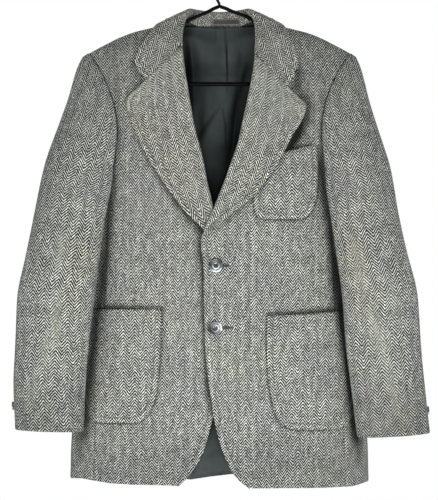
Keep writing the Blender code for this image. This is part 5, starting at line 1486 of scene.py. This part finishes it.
# ---------------------------------------------------------------- cloth pieces
def add_front_cloth(side):
    """The forepart, lined inside beyond a tweed facing, with stitching along the edge."""
    node = "front_" + TAGS[side]
    inner = edge_rows(front_edge(side), side * NECK_EDGE[0][1])
    x, drop = panel_chart(inner, outer_edge(-1) * (side, 1.0))
    x, drop = refined(x, drop, cuts_for(PANEL_ROWS, GRAIN_STEP) + [4] * len(RIDGE_ROWS), 5)
    points = on_body(x, drop, -1, 0.0, side < 0)
    beside = ramp(LAPEL_QUIET[1] - drop, 0.0, 40.0) * ramp(LAPEL_QUIET[0] - np.abs(x), 0.0, 30.0)
    relief = front_relief(x, drop) * (1.0 - 0.8 * beside)
    points, normals = raise_grid(points, body_normal(x, drop, -1), relief)
    points = raise_hem(points, drop, -1)
    chart = np.stack([arc_from_centre(x, drop, -1), drop], axis=-1)
    below = int(np.argmax(drop[:, 0] < LAPEL_FOOT))
    edge = edge_distance(points, [points[:below, 0]])
    pockets = [POCKET_HIP_RIGHT] if side < 0 else [POCKET_HIP_LEFT, POCKET_BREAST]
    lines = [SLEEVE_SHADE[side], LAPEL_SHADE[side], *MOUTH_SHADE, *map(pocket_line, pockets)]
    inner = np.abs(x - x[:, :1]) > FACING_WIDTH
    piece(node, (0.30, 0.80), "hung", ["hanger_arm_" + TAGS[side]], points, normals, TWEED, chart,
          ["body", "lining"], edge, inner, SEAMS, cast(x, drop, lines))
    stitches(node, points, normals, edge, BODY_STITCH)


def add_back_cloth(side):
    """A back panel, from the centre seam to the side seam."""
    x, drop = back_grid(side)
    x, drop = refined(x, drop, cuts_for(PANEL_ROWS, GRAIN_STEP) + [5] + [4] * (len(RIDGE_ROWS) - 1), 6)
    height = (strokes(x, drop, BACK_FOLDS) + ripple(x, drop, 4.1, 0.5)) * ramp(np.abs(x), 0.0, 12.0)
    points, normals = raise_grid(on_body(x, drop, 1), body_normal(x, drop, 1), height)
    points = raise_hem(points, drop, 1)
    chart = np.stack([arc_from_centre(x, drop, 1) + side * 2.0, drop], axis=-1)
    piece("back_" + TAGS[side], (0.26, 0.80), "hung", ["hanger_arm_" + TAGS[side]],
          points, normals, TWEED, chart, ["body", "lining"], EDGE_FAR, True, SEAMS)


def add_side_cloth(side):
    """The underarm panel between front and back."""
    counts = sums(cuts_for(SEAM_ROWS, GRAIN_STEP))
    drops = np.interp(np.arange(counts[-1] + 1), counts, SEAM_ROWS)
    turns = np.interp(np.linspace(0.0, 1.0, 25), np.linspace(0.0, 1.0, len(SIDE_TURNS)), SIDE_TURNS)
    points, normals = side_grid(side, drops, turns)
    arc = run_lengths(points, 1)
    arc -= arc[:, 12:13]
    level = drop_of(points)
    height = strokes(arc, level, SIDE_FOLDS) + ripple(arc, level, 2.2, 0.4)
    points, normals = raise_grid(points, normals, height * ramp(1.0 - np.abs(turns), 0.0, 0.3))
    shade = cast(points[..., 0], level, [SLEEVE_SHADE[side]])
    points = raise_hem(points, level, -1)
    chart = np.stack([arc + 3.0, level], axis=-1)
    piece("side_" + TAGS[side], (0.16, 0.60), "hung", cloths(side, "front", "back"),
          points, normals, TWEED, chart, ["body", "lining"], EDGE_FAR, True, SEAMS, shade)


def sleeve_form(side):
    """Points and normals of a whole folded sleeve, and the stations of its rows."""
    stations = np.concatenate([[0.0, 3.0, 7.0], np.linspace(13.0, 600.0, 118), [605.0, 608.5, 610.0]])
    coarse, directions = sleeve_grid(side, stations)
    points = refine(coarse, 1, SLEEVE_CUTS, wrap=True)
    normals = grid_normals(points, wrap=True)
    normals *= np.sign(np.sum(normals * (points - points.mean(axis=1, keepdims=True))))
    normals[0] = unit(refine(directions[:2], 1, SLEEVE_CUTS, wrap=True)[0])
    around = run_lengths(np.concatenate([points, points[:, :1]], axis=1), 1)
    scaled = around[:, :-1] / around[:, -1:] * SLEEVE_ROUND
    down = np.broadcast_to(stations[:, None], scaled.shape)
    flatten = OUTER_TUCK[side] * ramp(down, 60.0, 170.0) * (1.0 - ramp(down, 240.0, 380.0))
    flatten = flatten * ramp(np.abs(scaled - SLEEVE_ROUND / 2.0), 95.0, 160.0)
    height = strokes(scaled, down, SLEEVE_FOLDS[side]) - flatten
    height = height + ripple(scaled, down, 3.0 + 0.5 * side, 0.55)
    height = height * ramp(down, 8.0, 70.0) * (1.0 - 0.6 * ramp(down, 560.0, 606.0))
    moved = clear_of_body(points + normals * height[..., None], np.where(down < 60.0, 0.2, 2.6))
    points = np.where(down[..., None] < 8.0, points, moved)
    reach = (points[..., 0] - points[..., 0].mean(axis=1, keepdims=True)) * side
    points[..., 2] += CUFF_SLANT[side] * ramp(down, 530.0, 610.0) * reach / 40.0
    fresh = grid_normals(points, wrap=True)
    fresh *= np.sign(np.sum(fresh * normals))
    fresh[0] = normals[0]
    return points, fresh, stations


def sleeve_axis(points):
    """Direction down a sleeve at each row, steadied over the crown and the cuff."""
    centres = points.mean(axis=1)
    last = len(centres) - 1
    axis = [unit(centres[min(k + 14, last)] - centres[max(min(k - 14, 90), 22)]) for k in range(last + 1)]
    return np.array(axis[24:25] * 24 + axis[24:])[:, None]


def sleeve_chart(part, normals, axis, stations, middle):
    """Weave map of half a sleeve: level with the middle column below, and hung from its cap above."""
    step = np.diff(part, axis=1)
    step = step - dot(step, axis) * axis
    size = np.linalg.norm(step, axis=2)
    size = size * (EDGE_STRETCH + (1.0 - EDGE_STRETCH) * np.abs(step[..., 0]) / size)
    arc = np.concatenate([np.zeros((len(part), 1)), np.cumsum(size, axis=1)], axis=1)
    centre = part[:, middle:middle + 1]
    run = sums(dot(np.diff(centre, axis=0), axis[1:])[:, 0, 0])[:, None] + dot(part - centre, axis)[..., 0]
    chart = np.stack([arc - arc[:, middle:middle + 1] + 4.0, run], axis=-1)
    level = int(np.argmax(stations > CAP_LEVEL))
    lean = -0.35 * ramp(CAP_LEVEL - stations, 0.0, 60.0)
    hang = unit(axis[level, 0] + lean[:, None] * (0.0, 0.0, 1.0))[:, None]
    along = unit(hang - dot(hang, normals) * normals)
    aside = np.cross(normals, along)
    aside *= np.sign(np.sum(aside[level, :-1] * np.diff(part[level], axis=0)))
    for k in range(level - 1, -1, -1):
        move = part[k] - part[k + 1]
        chart[k] = chart[k + 1] + np.concatenate([dot(move, aside[k]), dot(move, along[k])], axis=1)
    return chart * WEAVE_SCALE


def add_sleeve_cloth(side):
    """Both halves of a sleeve. Returns the whole sleeve's points and normals."""
    points, normals, stations = sleeve_form(side)
    count = points.shape[1]
    back = SLEEVE_SEAM_BACK * SLEEVE_CUTS
    front = SLEEVE_SEAM_FRONT * SLEEVE_CUTS
    axis = sleeve_axis(points)
    top = [k % count for k in range(back, count + front + 1)]
    under = list(range(front, back + 1))
    for name, columns, middle, flat in (
        ("top", top, int(np.argmax(top)), (0.36, 0.67)),
        ("under", under, (back - front) // 2, (0.17, 0.60)),
    ):
        part, facing = points[:, columns], normals[:, columns]
        chart = sleeve_chart(part, facing, axis, stations, middle)
        wear = cast(part[..., 0], drop_of(part), SLEEVE_WEAR[side]) * ramp(-facing[..., 1], 0.1, 0.5)
        under_it = cloths(side, "front", "back")
        piece(f"sleeve_{name}_{TAGS[side]}", flat, "hung", under_it, part, facing, TWEED, chart,
              ["sleeve", "lining"], EDGE_FAR, stations[:, None] < CUFF_LINING, SEAMS, wear=wear)
    return points, normals


def turned_sheet(surface, rows, columns, lift, sign=1.0):
    """Points and normals of the outside of a turned leaf, lifted from its base surface."""
    step = 0.002
    row, column = np.meshgrid(rows, columns, indexing="ij")
    points = surface(row, column)
    along = surface(row, column + step) - surface(row, column - step)
    down = surface(row + step, column) - surface(row - step, column)
    normals = unit(np.cross(along, down))
    outward = points * (1.0, 1.0, 0.0) - (0.0, 30.0, 0.0)
    leaf = columns > (2.4 if columns[-1] > 2.4 else -1.0)
    normals = normals * sign * np.sign(np.sum((normals * outward)[:, leaf]))
    return points + normals * lift, normals


def leaf_columns(strip, turn, leaf):
    """Columns of a turned piece, with so many to its strip, its turn and its leaf."""
    parts = [np.linspace(0.0, 1.0, strip)[:-1], np.linspace(1.0, 2.0, turn)[:-1], np.linspace(2.0, 3.0, leaf)]
    return np.concatenate(parts)


def add_lapel_cloth(side):
    """A lapel, rolled over from the front's edge."""
    node = "lapel_" + TAGS[side]
    rows = np.linspace(0.0, 1.0, 84)
    columns = leaf_columns(5, 14, 34)
    points, normals = turned_sheet(lapel_surface(side), rows, columns, LAPEL_CLOTH if side < 0 else 0.0)
    share = np.clip(columns - 2.0, 0.0, 1.0)[None, :]
    rows = rows[:, None]
    height = ripple(points[..., 0], -points[..., 2], 5.0 + side, 0.35) * ramp(share, 0.0, 0.3)
    spring = LAPEL_SPRING * ramp(share, 0.45, 1.0) * ramp(rows, 0.0, 0.10)
    height = height + spring * (1.0 - 0.6 * ramp(rows, 0.5, 1.0))
    for at, wide, tall in LAPEL_WAVES[side]:
        height = height + tall * bell(rows - at, wide) * ramp(share, 0.35, 1.0)
    points, normals = raise_grid(points, normals, height)
    points[-1] += unit(points[-1] - points[-2]) * GORGE_TUCK[0] - normals[-1] * GORGE_TUCK[1]
    across = run_lengths(points, 1)
    down = run_lengths(points[:, 20:21], 0)
    chart = np.stack([across, np.broadcast_to(down, across.shape)], axis=-1)
    notch = int(np.argmax(columns > NOTCH_AT[side]))
    edge = edge_distance(points, [points[:, -1], points[-1, notch:]])
    piece(node, (0.16, 0.36), "folded", cloths(side, "front"), points, normals, LAPEL_CLOTH, chart, ["lapel"],
          edge, soft=(SEAMS[0], SEAMS[3]))
    stitches(node, points, normals, edge, LEAF_STITCH)


def dip(points):
    """1 at the centre of the back neck, fading out to the sides."""
    return bell(points[..., 0], NECK_DIP[1])


def add_collar_cloth():
    """The collar, turned over at its fold."""
    ends = np.linspace(0.0, NOTCH_ROWS, 14)
    rows = np.concatenate([ends[:-1], np.linspace(NOTCH_ROWS, 1.0 - NOTCH_ROWS, 120), 1.0 - ends[-2::-1]])
    columns = leaf_columns(8, 14, 26)
    points, normals = turned_sheet(collar_surface, rows, columns, LAPEL_CLOTH)
    share = np.clip(columns - 2.0, 0.0, 1.0)[None, :]
    along = np.broadcast_to(run_lengths(points[:, 30:31], 0), points.shape[:2])
    height = ripple(along, 60.0 * share, 7.0, 0.35) * ramp(share, 0.05, 0.4)
    points, normals = raise_grid(points, normals, height)
    near = dip(points)
    points[..., 2] -= NECK_DIP[0] * near
    points[..., 1] += 4.0 * near * (1.0 - ramp(columns, 0.0, 0.4))
    chart = 0.9 * np.stack([along, run_lengths(points, 1)], axis=-1)
    fall = columns >= 2.0
    front = np.mean(normals[:, fall, 1], axis=1) < FALL_FACING
    reach, level = np.abs(points[..., 0]), -points[..., 2]
    cos, sin = math.cos(math.radians(FALL_LEAN)), math.sin(math.radians(FALL_LEAN))
    turned = np.stack([reach * cos - level * sin, level * cos + reach * sin], axis=-1)
    chart[np.ix_(front, fall)] = turned[np.ix_(front, fall)]
    notch = int(np.argmax(columns >= NOTCH_STEP))
    edge = edge_distance(points, [points[:, -1], points[0, notch:], points[-1, notch:]])
    under = ["front_right_cloth", "front_left_cloth", "back_right_cloth", "back_left_cloth"]
    piece("collar", (0.46, 0.13), "folded", under, points, normals, LAPEL_CLOTH, chart, ["collar"], edge,
          soft=SEAMS)
    stitches("collar", points, normals, edge, LEAF_STITCH)


def add_label_cloth():
    """The blank label on the collar's stand, at even levels across its length."""
    rows = np.linspace(LABEL_SPAN[0] - 0.006, LABEL_SPAN[1], 26)
    tall = np.linspace(0.0, 1.0, 41)
    points, normals = turned_sheet(collar_surface, rows, tall, LAPEL_CLOTH + LAY_GAP + LABEL_CLOTH, -1.0)
    points[..., 2] -= NECK_DIP[0] * dip(points)
    middle = points[len(rows) // 2, :, 2]
    levels = np.interp(np.linspace(LABEL_HEIGHT[0] + 0.10, LABEL_HEIGHT[1], 8), tall, middle)
    picked = [np.interp(levels, line[:, 2], tall) for line in points]
    points = np.array([at_run(steps, tall, line) for steps, line in zip(picked, points)])
    normals = unit([at_run(steps, tall, line) for steps, line in zip(picked, normals)])
    chart = np.stack([run_lengths(points, 0), run_lengths(points, 1)], axis=-1)
    edge = edge_distance(points, [points[border] for border in SEAMS])
    piece("neck_label", (0.055, 0.014), "laid", ["collar_cloth"], points, normals, LABEL_CLOTH, chart,
          ["label"], edge)


def add_pocket_cloth(node, table, side, slant):
    """A patch pocket, open a little at its mouth."""
    rows = np.array(table)
    shares = np.array(POCKET_SHARES)
    x = rows[:, 1:2] + (rows[:, 2:3] - rows[:, 1:2]) * shares
    rise = ramp(np.arange(len(rows)), 0.0, len(rows) - 1.0)[:, None] ** 3
    drop = rows[:, 0:1] + slant * rise * shares
    grid = np.stack(np.broadcast_arrays(x, drop, rise, shares), axis=-1)
    grid = refine(grid, [3, 4] + cuts_for(rows[2:, 0], POCKET_STEP), 5)
    x, drop, rise, share = (grid[..., k] for k in range(4))
    lift = MOUTH_OPEN * rise * np.sin(math.pi * np.clip(share, 0.0, 1.0))
    seat = POCKET_SEAT + POCKET_EASE * ramp(np.abs(x), 120.0, 210.0)
    points = on_body(x, drop, -1, seat + POCKET_CLOTH + lift + front_relief(x, drop), side < 0)
    edge = edge_distance(points, [points[0], points[:, 0], points[:, -1]])
    puff = 0.45 * ramp(edge, 0.0, 3.0) * (1.0 - ramp(edge, 6.0, 9.5)) + 0.5 * ramp(edge, 10.0, 24.0)
    puff = puff + ripple(x, drop, 9.0 + side, 0.3) * ramp(edge, 8.0, 30.0)
    points, normals = raise_grid(points, body_normal(x, drop, -1), puff)
    chart = np.stack([0.935 * arc_from_centre(x, drop, -1) + 1.2, drop + 0.012 * x + 1.4], axis=-1)
    span = abs(table[-1][2] - table[-1][1]) / 1000.0
    tall = abs(table[0][0] - table[-1][0]) / 1000.0
    flat = (round(span + 0.02, 3), round(tall + 0.01, 3))
    piece(node, flat, "laid", cloths(side, "front"), points, normals, POCKET_CLOTH, chart, ["body"], edge,
          soft=SEAMS, shade=cast(x, drop, [SLEEVE_SHADE[side], LAPEL_SHADE[side]]))
    stitches(node, points, normals, edge, BODY_STITCH)


def add_lining_cloth():
    """The back lining, loose in the trunk, with a pleat down its middle."""
    (x_right, drop_right), (x_left, drop_left) = back_grid(-1.0), back_grid(1.0)
    x = np.concatenate([x_right[:, :0:-1], x_left], axis=1)[1:]
    drop = np.concatenate([drop_right[:, :0:-1], drop_left], axis=1)[1:]
    rows = cuts_for(PANEL_ROWS[1:], 5.0) + [4] * len(RIDGE_ROWS)
    x, drop = refined(x, drop, rows, [5] * 5 + [14] * 6 + [5] * 5)
    drop = drop + LINING_HANG * (SEAM_ROWS[0] - SEAM_ROWS[1]) * ramp(drop, SEAM_ROWS[2], SEAM_ROWS[1])
    points = on_body(x, drop, 1, -(TWEED + LINING_GAP + LINING_CLOTH))
    span, depth, level = np.array(LINING_TOP).T
    start = len(x) - 1 - rows[-1]
    near = np.abs(x[start])
    goal = place(x[start], np.interp(near, span, depth), np.interp(near, span, level))
    goal = np.where(near[:, None] > span[-1], points[start] + 0.5 * (points[-1] - points[start]), goal)
    share = (np.arange(rows[-1] + 1) / rows[-1])[:, None, None]
    points[start:] = points[start] + (goal - points[start]) * share
    fade = ramp(220.0 - np.abs(x), 0.0, 40.0) * ramp(drop - np.min(drop, axis=0, keepdims=True), 6.0, 34.0)
    height = np.maximum(strokes(x, drop, LINING_FOLDS), 0.0) + 1.2 + ripple(x, drop, 6.0, 0.8)
    at, full, gone, tall = PLEAT
    lip = ramp(at - x, 0.0, 1.6) * ramp(x, at - 26.0, at - 2.0)
    height = height + tall * lip * ramp(drop, 30.0, 44.0) * (1.0 - ramp(drop, full, gone))
    points, normals = raise_grid(points, -body_normal(x, drop, 1), np.maximum(height, 0.0) * fade)
    points[..., 1] -= 2.2 * bell(x, 26.0) * bell(drop - 41.0, 9.0)
    points = raise_hem(points, drop, 1)
    chart = np.stack([arc_from_centre(x, drop, 1), drop], axis=-1)
    piece("lining_back", (0.52, 0.79), "hung", ["back_right_cloth", "back_left_cloth"],
          points, normals, LINING_CLOTH, chart, ["lining"], shade=cast(x, drop, LINING_SHADE))


# ---------------------------------------------------------------- buttons and hanger
def frame_at(centre, facing):
    """A centre with its facing, across and up directions."""
    facing = unit(facing)
    across = unit(np.cross((0.0, 0.0, 1.0), facing))
    return np.asarray(centre), facing, across, np.cross(facing, across)


def lathe(profile, placed, radius, seat, segments):
    """Turned solid round a facing direction: vertices and faces."""
    centre, facing, across, up = placed
    turn = np.arange(segments) / segments * 2.0 * math.pi
    ring = np.cos(turn)[:, None] * across + np.sin(turn)[:, None] * up
    rings = [centre + ring * share * radius + facing * (seat + height * radius) for share, height in profile]
    return np.concatenate(rings), ring_faces(0, len(profile), segments)


def tubes(name, paths, radius, sides, material):
    """Round strands along paths, with domed ends, as one mesh."""
    vertices, faces = [], []
    turn = np.arange(sides) / sides * 2.0 * math.pi
    for path in paths:
        path = np.asarray(path, dtype=float)
        tangents = unit(np.gradient(path, axis=0))
        guess = (0.0, 1.0, 0.0) if abs(tangents[0][1]) < 0.8 else (1.0, 0.0, 0.0)
        across = [unit(np.cross(tangents[0], guess))]
        for tangent in tangents[1:]:
            across.append(unit(across[-1] - np.dot(across[-1], tangent) * tangent))
        lift = np.cross(across, tangents)
        spots = [(path[0] + tangents[0] * radius * (DOME[0][0] - back), size, 0) for back, size in DOME]
        spots += [(path[k], 1.0, k) for k in range(1, len(path) - 1)]
        stop = path[-1] - tangents[-1] * radius * DOME[0][0]
        spots += [(stop + tangents[-1] * radius * back, size, -1) for back, size in DOME[::-1]]
        faces += [face[:1] + face[:0:-1] for face in ring_faces(len(vertices), len(spots), sides)]
        for centre, size, k in spots:
            ring = np.cos(turn)[:, None] * across[k] + np.sin(turn)[:, None] * lift[k]
            vertices.extend(centre + radius * size * ring)
    return make_mesh(name, vertices, faces, [material])


def add_fine_button(node, centre, facing, radius, spin, highlight_angle):
    """Pearl button with a rounded rim, an inner ring and four holes, sewn on with thread; its colour holds a
    painted highlight and shade.
    """
    centre, facing, across, up = placed = frame_at(centre, facing)
    vertices, faces = lathe(FINE_BUTTON, placed, radius, BUTTON_SEAT, 56)
    offset = (vertices - centre) / radius
    turn = math.radians(highlight_angle)
    reach = np.linalg.norm(offset[:, (0, 2)], axis=1)
    # Painted highlight toward one side and on the raised inner ring, painted shade on the other side and in the
    # middle.
    painted_gleam = 0.42 + 0.52 * (offset[:, 0] * math.cos(turn) + offset[:, 2] * math.sin(turn))
    painted_gleam = painted_gleam + 0.40 * bell(reach - 0.46, 0.06) - 0.10 * ramp(0.40 - reach, 0.0, 0.1)
    item = make_mesh(node + "_pearl", vertices, faces, ["button"], fields={"shade": np.clip(painted_gleam, 0.0, 1.0)})
    cutters = []
    spots = []
    for k in range(4):
        angle = spin + math.pi / 4.0 + k * math.pi / 2.0
        spots.append(centre + (across * math.cos(angle) + up * math.sin(angle)) * BUTTON_HOLE_RING * radius)
        hole = (spots[-1], facing, across, up)
        tube, sides = lathe(HOLE_PROFILE, hole, BUTTON_HOLE_RADIUS * radius, 0.0, 16)
        mesh = bpy.data.meshes.new("cutter")
        mesh.from_pydata((tube * MM).tolist(), [], sides)
        cutters.append(bpy.data.objects.new("cutter", mesh))
        bpy.context.scene.collection.objects.link(cutters[-1])
        cut = item.modifiers.new("hole", "BOOLEAN")
        cut.operation = "DIFFERENCE"
        cut.object = cutters[-1]
        cut.solver = "EXACT"
    carved = bpy.data.meshes.new_from_object(item.evaluated_get(bpy.context.evaluated_depsgraph_get()))
    item.modifiers.clear()
    item.data = carved
    for cutter in cutters:
        bpy.data.objects.remove(cutter, do_unlink=True)
    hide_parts(node)
    strands = []
    for a, b in ((0, 3), (1, 2)):
        reach = spots[b] - spots[a]
        for shift in (-0.028, 0.028):
            start = spots[a] + unit(np.cross(reach, facing)) * shift * radius + facing * BUTTON_SEAT
            rises = [(t, facing * (0.215 + rise * 0.05) * radius) for t, rise in THREAD_ARCH]
            strands.append([start + reach * t + rise for t, rise in rises])
    tubes(node + "_thread", strands, 0.035 * radius, 8, "thread_dark")


def add_wire(node, path, radius):
    """One wire of the hanger, for its solid."""
    item = tubes(node + "_wire", [path], radius, 20, "hanger")
    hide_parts(node)


def wire_drop(x, side):
    """Level of a hanger arm, drawn up to a clean point at the middle."""
    table = np.array(WIRE_LIFT[side])
    return hanger_drop(max(x, APEX_FLAT)) - np.interp(x, table[:, 0], table[:, 1])


def smooth_path(points, cuts):
    """A path with so many steps for each one that it had."""
    return refine(np.asarray(points, dtype=float)[:, None, :].repeat(2, axis=1), cuts, 1)[:, 0]


def add_fine_hanger():
    """The hanger's arms, bar and hook."""
    for side in (-1, 1):
        outs = [0.0, 10.0, 20.0, 30.0, 40.0, 52.0, 66.0, *np.linspace(84.0, ARM_REACH, 6)]
        path = [place(side * x, 0.0, wire_drop(x, side)) for x in outs]
        path += [place(side * (ARM_REACH + out), 0.0, hanger_drop(ARM_REACH) + down) for out, down in ARM_END]
        path += [place(side * ARM_FOOT, 0.0, BAR_DROP - rise) for rise in ARM_FOOT_RISES]
        add_wire("hanger_arm_" + TAGS[side], smooth_path(path, 4), HANGER_WIRE * 1.1)
    bar = [place(x, 0.0, BAR_DROP + BAR_WIRE - 2.2) for x in np.linspace(-BAR_HALF, BAR_HALF, 25)]
    add_wire("hanger_bar", bar, BAR_WIRE * 1.5)
    centre_rise = HOOK_RISE - HOOK_INNER
    radius = HOOK_INNER + HOOK_WIRE
    lean = math.asin(radius / (centre_rise + HOOK_FOOT))
    touch_x = -radius * math.cos(lean)
    touch_drop = -centre_rise + radius * math.sin(lean)
    drops = [HOOK_FOOT + (touch_drop - HOOK_FOOT) * share for share, bow in HOOK_STEM]
    path = [place(touch_x * share * bow, 0.0, drop) for (share, bow), drop in zip(HOOK_STEM, drops)]
    first = 180.0 + math.degrees(lean)
    for angle in np.radians(np.linspace(first, 180.0 - HOOK_END_ANGLE, HOOK_STEPS)):
        path.append(place(radius * math.cos(angle), 0.0, -centre_rise - radius * math.sin(angle)))
    add_wire("hanger_hook", smooth_path(path, 4), HOOK_WIRE)


def add_buttonhole(name, drop, start, stop, tilt):
    """Worked buttonhole on the over front: a purled border round a dark sheet painted as the shadow in its slit.
    """
    half = (stop - start) / 2.0
    middle = (stop + start) / 2.0
    angle = np.linspace(0.0, 2.0 * math.pi, 121)
    x = half * np.cos(angle)
    wide = HOLE_HALF * np.sign(np.sin(angle)) * np.abs(np.sin(angle)) ** 0.6
    wide = wide * (1.0 + 0.9 * bell(x + half, 2.2))
    wide[-1] = wide[0]
    ring = front_point(middle + x, drop + wide + tilt * x, 0.30)
    lengths = sums(np.linalg.norm(np.diff(ring, axis=0), axis=1))
    purls = []
    for spot in np.arange(0.0, lengths[-1], 0.85):
        point, ahead = at_run([spot, min(spot + 0.3, lengths[-1])], lengths, ring)
        side = unit(np.cross(ahead - point, (0.0, -1.0, 0.0)) + 1e-9)
        purls.append([point + side * out - (0.0, rise, 0.0) for out, rise in PURL])
    tubes(name + "_purl", purls, 0.36, 6, "thread_dark")
    # Dark sheet that stands for the shadow in the slit.
    share = np.linspace(-1.0, 1.0, 13)[:, None]
    aside = np.array([-SLIT_HALF, SLIT_HALF]) * np.sqrt(np.maximum(0.0, 1.0 - share * share))
    slit_shadow = front_point(middle + share * (half - 0.6), drop + aside + tilt * share * half, 0.16)
    faces = [(k, k + 1, k + 3, k + 2) for k in range(0, 24, 2)]
    make_mesh(name + "_slit", slit_shadow.reshape(-1, 3), faces, ["thread_dark"])


for side in (-1, 1):
    add_front_cloth(side)
    add_side_cloth(side)
    add_back_cloth(side)
    sleeve, outward = add_sleeve_cloth(side)
    line = sleeve[:, 0]
    cuff_drop = SLEEVES[side][-1][0] - CUFF_BUTTON_RISE
    at = int(np.argmin(np.abs(drop_of(line) - cuff_drop)))
    add_fine_button("button_cuff_" + TAGS[side], line[at], outward[at, 0], CUFF_BUTTON_RADIUS, *CUFF_BUTTON_LOOK)
    add_lapel_cloth(side)
add_collar_cloth()
add_label_cloth()
add_pocket_cloth("pocket_hip_right", POCKET_HIP_RIGHT, -1, 0.0)
add_pocket_cloth("pocket_hip_left", POCKET_HIP_LEFT, 1, POCKET_TOP_SLANT_LEFT)
add_pocket_cloth("pocket_breast", POCKET_BREAST[:-1] + (BREAST_MOUTH,), 1, POCKET_TOP_SLANT_BREAST)
add_lining_cloth()
for name, x, drop, spin, highlight_angle in FRONT_BUTTONS:
    add_fine_button(name, front_point(x, drop, 0.0), body_normal(x, drop, -1), BUTTON_RADIUS, spin, highlight_angle)
for buttonhole in BUTTONHOLES:
    add_buttonhole(*buttonhole)
add_fine_hanger()


# ---------------------------------------------------------------- floor, light and camera
def add_floor():
    """White floor, for the picture alone."""
    mesh = bpy.data.meshes.new("floor")
    signs = ((-1, -1), (1, -1), (1, 1), (-1, 1))
    corners = [(x * FLOOR, y * FLOOR, FLOOR_LEVEL) for x, y in signs]
    mesh.from_pydata(corners, [], [(0, 1, 2, 3)])
    item = bpy.data.objects.new("floor", mesh)
    item.data.materials.append(floor_material("floor_paint"))
    bpy.context.scene.collection.objects.link(item)


def add_aimed(name, data, location, target):
    """Adds a light or camera whose -Z points at a target, with its +Y up."""
    item = bpy.data.objects.new(name, data)
    bpy.context.scene.collection.objects.link(item)
    item.location = location
    back = unit(np.array(location) - np.array(target))
    across = unit(np.cross((0.0, 0.0, 1.0), back))
    matrix = np.eye(4)
    matrix[:3] = np.stack([across, np.cross(back, across), back, location], axis=1)
    item.matrix_world = Matrix(matrix.tolist())
    return item


def add_light(name, location, target, size, energy):
    """Square soft light."""
    light = bpy.data.lights.new(name, "AREA")
    light.shape = "SQUARE"
    light.size = size
    light.energy = energy
    add_aimed(name, light, location, target)


def add_world():
    """White behind the object, and a softer, even light on it."""
    world = bpy.data.worlds.new("studio")
    bpy.context.scene.world = world
    world.use_nodes = True
    tree = world.node_tree
    white = tree.nodes["Background"]
    white.inputs["Color"].default_value = (1.0, 1.0, 1.0, 1.0)
    white.inputs["Strength"].default_value = 1.0
    soft = tree.nodes.new("ShaderNodeBackground")
    soft.inputs["Color"].default_value = (1.0, 0.995, 0.985, 1.0)
    soft.inputs["Strength"].default_value = WORLD_LIGHT
    seen = tree.nodes.new("ShaderNodeLightPath")
    either = tree.nodes.new("ShaderNodeMixShader")
    tree.links.new(seen.outputs["Is Camera Ray"], either.inputs[0])
    tree.links.new(soft.outputs[0], either.inputs[1])
    tree.links.new(white.outputs[0], either.inputs[2])
    tree.links.new(either.outputs[0], tree.nodes["World Output"].inputs["Surface"])


bpy.context.scene.view_settings.view_transform = "Standard"
add_floor()
add_world()
for name, light in LIGHTS.items():
    add_light(name, *light)

camera = bpy.data.cameras.new("camera")
camera.sensor_fit = "VERTICAL"
camera.sensor_height = CAMERA_SENSOR
camera.lens = CAMERA_SENSOR * CAMERA_FAR / CAMERA_VIEW
bpy.context.scene.camera = add_aimed("camera", camera, CAMERA_PLACE, CAMERA_TARGET)
